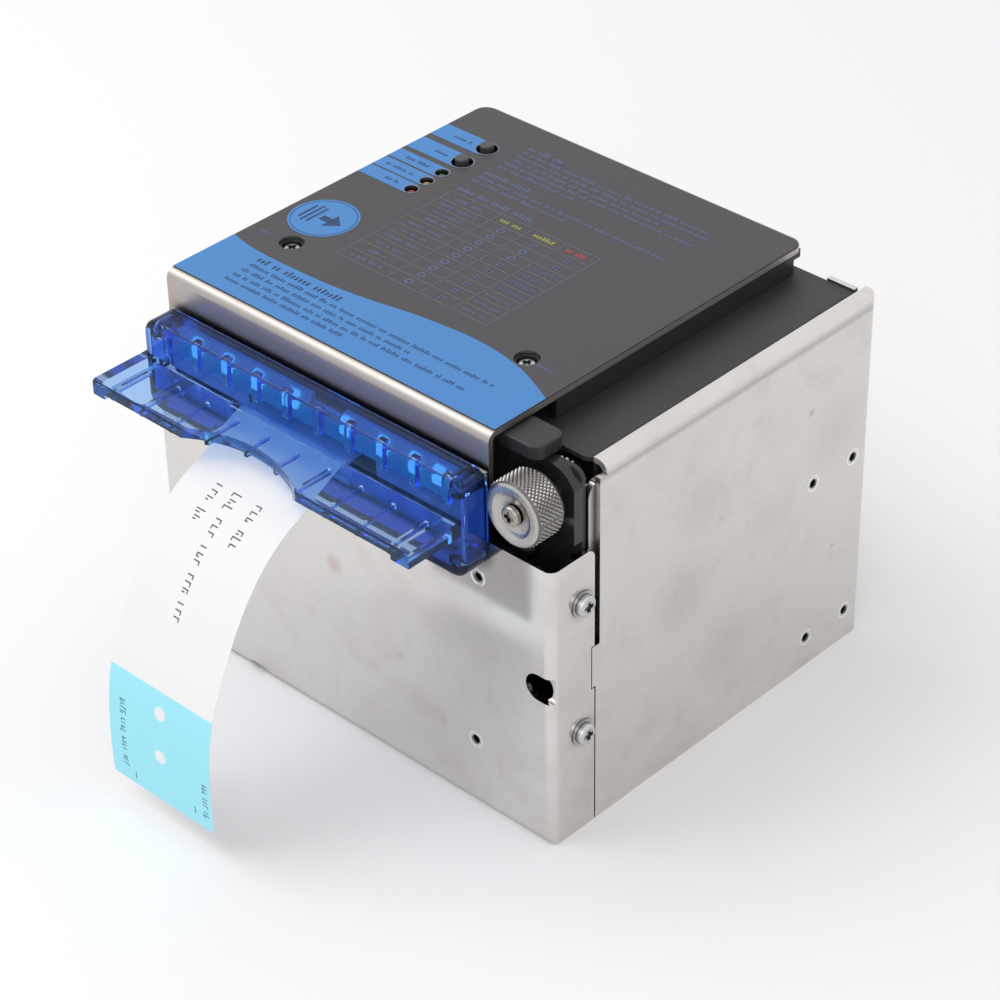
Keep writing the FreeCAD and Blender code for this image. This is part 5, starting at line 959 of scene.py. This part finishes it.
class BEZEL_OT_ticket_printer(bpy.types.Operator):
    """See-through outlet bezel with its light board"""
    bl_idname = "scene.ticket_printer_bezel"
    bl_label = "Bezel"

    # A height above the whole light board, which has no dark parts
    board_top = 200.0

    def execute(self, context):
        settings = context.scene.ticket_printer.bezel
        front = corners_of("bezel")[0].y + settings.reach
        dress(clear_plastic("bezel_blue", settings.plastic, settings.shelf, front, settings.roughness,
                            settings.ior), "bezel")
        dress(circuit_board("light_board_mask", settings.board, self.board_top), "light_board")
        dress(glowing_lens("bezel_light", (0.75, 0.9, 0.95), (0.35, 1.0, 0.85), 0.95), "bezel_lights")
        return {"FINISHED"}


class KNOB_OT_ticket_printer(bpy.types.Operator):
    """Knurled knob with its screw"""
    bl_idname = "scene.ticket_printer_knob"
    bl_label = "Knob"

    steps = 96
    # Where the knurl starts behind the front of the knob, and where it ends before the rear
    front_chamfer = 0.75
    rear_chamfer = 0.9
    bore = 1.25
    recess = 2.2
    recess_depth = 3.0
    root_drop = 0.02
    seam_merge = 0.002

    def execute(self, context):
        settings = context.scene.ticket_printer.knob
        low, high = corners_of("knob")
        centre, radius = (low + high) / 2, (high.x - low.x) / 2
        metal = knurled_metal("knob_metal", settings.metal, 0.22, (centre.x, centre.z),
                              radius - settings.depth, radius)
        self.make_knob(settings, metal)
        dress(bright_steel("knob_screw_metal", (0.42, 0.38, 0.34), 0.2), "knob_screw")
        return {"FINISHED"}

    def make_knob(self, settings, metal):
        """A turned body with a dished face and an open rear, and the knurl round it."""
        low, high = corners_of("knob")
        centre, length, radius = (low + high) / 2, high.y - low.y, (high.x - low.x) / 2
        inner = radius - settings.depth
        bm = bmesh.new()
        profile = [(self.bore, 0.9), (2.9, 0.9), (4.7, 0.75), (5.6, 0.35), (5.9, 0.08), (6.2, 0.0),
                   (inner - 0.9, 0.0), (inner - 0.1, 0.45), (inner, self.front_chamfer),
                   (inner, length - self.rear_chamfer), (inner - 0.6, length - 0.05), (self.recess, length),
                   (self.recess, self.recess_depth), (self.bore, self.recess_depth), (self.bore, 0.9)]
        turned_profile(bm, profile, (centre.x, low.y, centre.z), (0, 1, 0), self.steps)
        self.add_knurl(bm, settings, centre, low.y + self.front_chamfer, high.y - self.rear_chamfer, inner,
                       radius)
        link_piece("knurled_knob", bm, "knob", metal, sharp_angle=24.0, replaced=("knob",))

    def add_knurl(self, bm, settings, centre, first, last, inner, outer):
        """A grid rolled round the grip, cut into diamonds that rise to points."""
        part = bmesh.new()
        bmesh.ops.create_grid(part, x_segments=settings.around, y_segments=settings.rows, size=0.5)
        grid_edges = list(part.edges)
        bmesh.ops.poke(part, faces=list(part.faces))
        borders = [edge for edge in grid_edges if edge.is_valid and len(edge.link_faces) == 2]
        bmesh.ops.dissolve_edges(part, edges=borders, use_verts=False)
        peaks = bmesh.ops.poke(part, faces=[face for face in part.faces if len(face.verts) == 4])["verts"]
        high = set(peaks)
        for vert in part.verts:
            angle = (vert.co.x + 0.5) * math.tau
            y = first + (vert.co.y + 0.5) * (last - first)
            radius = outer if vert in high else inner - self.root_drop
            vert.co = (centre.x + radius * math.cos(angle), y, centre.z + radius * math.sin(angle))
        bmesh.ops.remove_doubles(part, verts=list(part.verts), dist=self.seam_merge)
        mesh = bpy.data.meshes.new("knurl")
        bmesh.ops.recalc_face_normals(part, faces=list(part.faces))
        part.to_mesh(mesh)
        part.free()
        bm.from_mesh(mesh)
        bpy.data.meshes.remove(mesh)


class TICKET_OT_ticket_printer(bpy.types.Operator):
    """Printed ticket that hangs out of the bezel"""
    bl_idname = "scene.ticket_printer_ticket"
    bl_label = "Ticket"

    # X and Z of each round spot, and its radius
    spots = (((-9.1, 33.1), 1.85), ((-9.1, 20.5), 1.85))
    # The face is read in steps up from the lower end, to a height below the top of the bezel
    read_step = 0.5
    read_start = 0.2
    read_end_drop = 14.0
    # X of a line of print, its start and end along the ticket, pitch, height and seed
    print_lines = ((-16.7, 85.0, 73.0, 1.85, 2.9, 1), (-10.4, 85.0, 48.5, 1.85, 2.9, 2),
                   (-2.9, 85.0, 70.5, 1.85, 2.9, 3))
    band_lines = ((-22.4, 24.2, 2.8, 1.15, 2.1, 7), (6.6, 13.6, 3.0, 1.05, 2.4, 8))
    band_ticks = ((-19.0, 2.6), (2.6, 4.0))

    def execute(self, context):
        settings = context.scene.ticket_printer.ticket
        dress(ticket_paper("ticket_paper", settings.paper, settings.band, settings.band_top, self.spots),
              "ticket")
        dress(paper_stock("web_paper", settings.paper), "paper_web")
        self.read_line()
        self.make_print("ticket_print", self.print_lines, (), printed_film("ticket_ink", settings.ink, 0.6))
        self.make_print("ticket_band_print", self.band_lines, self.band_ticks,
                        printed_film("ticket_band_ink", shade(settings.band, 0.12), 0.6))
        return {"FINISHED"}

    def read_line(self):
        """The outer face of the hanging ticket as points, with their distance from its lower end."""
        shape = bmesh.new()
        shape.from_mesh(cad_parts["ticket"].data)
        tree = BVHTree.FromBMesh(shape)
        shape.free()
        low, high = corners_of("ticket")
        middle, front = (low.x + high.x) / 2 * MM, (low.y - 100) * MM
        end = corners_of("bezel")[1].z - self.read_end_drop
        self.line = []
        height = low.z + self.read_start
        while height < end:
            place = tree.ray_cast(Vector((middle, front, height * MM)), Vector((0, 1, 0)))[0]
            if place:
                point = (place.y / MM, place.z / MM)
                along = self.line[-1][0] + math.dist(self.line[-1][1], point) if self.line else 0.0
                self.line.append((along, point))
            height += self.read_step

    def on_ticket(self, x, along, lift):
        """A place on the ticket: across it, along it from its lower end, and off its face."""
        index = 0
        while index < len(self.line) - 2 and self.line[index + 1][0] < along:
            index += 1
        start, (y0, z0) = self.line[index]
        end, (y1, z1) = self.line[index + 1]
        share = (along - start) / (end - start)
        run = Vector((0, y1 - y0, z1 - z0)).normalized()
        off = Vector((0, -run.z, run.y)) * lift
        return Vector((x, y0 + (y1 - y0) * share, z0 + (z1 - z0) * share)) + off

    def add_stroke(self, bm, x0, x1, along0, along1):
        add_bar(bm, (x0, along0, PRINT_LIFT), (x1, along1, PRINT_LIFT + PRINT_THICKNESS))

    def make_words_along(self, bm, x, start, end, pitch, tall, seed):
        """Groups of plain strokes that stand across the ticket, read from one end to the other."""
        draw = random.Random(seed)
        step = pitch if end > start else -pitch
        stroke, foot_reach, tick_end = pitch * 0.17, pitch * 0.45, pitch * 0.28
        foot_share, tick_share = 0.65, 0.4
        gap = draw.randint(3, 5)
        for index in range(int(abs(end - start) / pitch)):
            if index % (gap + 1) == gap:
                continue
            along = start + index * step
            half = tall * draw.choice((1.0, 0.7, 0.7)) / 2
            self.add_stroke(bm, x - half, x + half, along, along + stroke)
            if draw.random() < foot_share:
                foot = x + draw.choice((-half, half - stroke))
                self.add_stroke(bm, foot, foot + stroke, along - foot_reach, along)
            if draw.random() < tick_share:
                self.add_stroke(bm, x - half, x, along - foot_reach, along - tick_end)

    def make_print(self, name, lines, ticks, finish):
        """Print drawn flat, as X and a distance along the ticket, then laid on its face."""
        bm = bmesh.new()
        for line in lines:
            self.make_words_along(bm, *line)
        for x, along in ticks:
            self.add_stroke(bm, x - 0.12, x + 0.12, along - 1.0, along + 1.0)
        for vert in bm.verts:
            vert.co = self.on_ticket(*vert.co)
        bmesh.ops.recalc_face_normals(bm, faces=list(bm.faces))
        link_piece(name, bm, "case", finish)


class INSIDE_OT_ticket_printer(bpy.types.Operator):
    """Paper roll, rollers, cutter, motors and boards"""
    bl_idname = "scene.ticket_printer_inside"
    bl_label = "Inside"

    # Height of the main board's face, which its parts stand above
    board_top = 10.62

    def execute(self, context):
        paper = context.scene.ticket_printer.ticket.paper
        dress(paper_stock("roll_paper", shade(paper, 0.95)), "paper_roll")
        dress(paper_stock("core_card", (0.42, 0.30, 0.18)), "roll_core")
        dress(moulded_plastic("grey_plastic", (0.22, 0.22, 0.23), 0.4), "roll_spindle")
        dress(moulded_plastic("platen_rubber", (0.02, 0.02, 0.02), 0.65, 0.2), "platen_roller")
        dress(moulded_plastic("gear_plastic", (0.78, 0.77, 0.72), 0.35), "platen_gear", "drive_gear",
              "feed_motor_pinion", "cutter_motor_pinion")
        dress(bright_steel("brass", (0.74, 0.55, 0.26), 0.25), "platen_bushes", "cutter_pinion")
        dress(bright_steel("shaft_steel", (0.6, 0.6, 0.6), 0.18), "platen_shaft", "knob_shaft", "lever_pin",
              "tie_rods", "cutter_screws", "moving_blade_screws", "blade_carrier", "moving_blade",
              "fixed_blade")
        dress(bright_steel("spring_steel", (0.4, 0.4, 0.42), 0.25), "lever_spring", "head_springs")
        dress(bright_steel("motor_can", (0.5, 0.5, 0.5), 0.3), "feed_motor", "cutter_motor")
        dress(bright_steel("bay_steel", (0.52, 0.53, 0.53), 0.3), "left_bay_wall", "right_bay_wall",
              "head_bracket")
        dress(bright_steel("aluminium", (0.7, 0.7, 0.71), 0.3), "head_block")
        dress(moulded_plastic("head_ceramic", (0.7, 0.68, 0.62), 0.3), "print_head")
        dress(circuit_board("main_board_mask", (0.02, 0.14, 0.06), self.board_top), "main_board")
        dress(bright_steel("socket_shell", (0.6, 0.6, 0.6), 0.25), "rear_sockets")
        return {"FINISHED"}


class VIEW3D_PT_ticket_printer(bpy.types.Panel):
    """Steps that dress the ticket printer"""
    bl_idname = "VIEW3D_PT_ticket_printer"
    bl_label = "Ticket printer"
    bl_space_type = "VIEW_3D"
    bl_region_type = "UI"
    bl_category = "Ticket printer"

    def draw(self, context):
        for step in STEPS:
            self.layout.operator(step.bl_idname, text=step.bl_label)


STEPS = (STUDIO_OT_ticket_printer, CASE_OT_ticket_printer, LABEL_OT_ticket_printer, BUTTONS_OT_ticket_printer,
         BEZEL_OT_ticket_printer, KNOB_OT_ticket_printer, TICKET_OT_ticket_printer, INSIDE_OT_ticket_printer)
GROUPS = (CaseSettings, LabelSettings, BezelSettings, KnobSettings, TicketSettings, StudioSettings,
          PrinterSettings)
CLASSES = GROUPS + STEPS + (VIEW3D_PT_ticket_printer,)


def register():
    for item in CLASSES:
        bpy.utils.register_class(item)
    bpy.types.Scene.ticket_printer = PointerProperty(type=PrinterSettings)


def unregister():
    del bpy.types.Scene.ticket_printer
    for item in reversed(CLASSES):
        bpy.utils.unregister_class(item)


def main():
    register()
    bpy.ops.scene.ticket_printer_studio()
    bpy.ops.scene.ticket_printer_case()
    bpy.ops.scene.ticket_printer_label()
    bpy.ops.scene.ticket_printer_buttons()
    bpy.ops.scene.ticket_printer_bezel()
    bpy.ops.scene.ticket_printer_knob()
    bpy.ops.scene.ticket_printer_ticket()
    bpy.ops.scene.ticket_printer_inside()


if __name__ == "__main__":
    main()
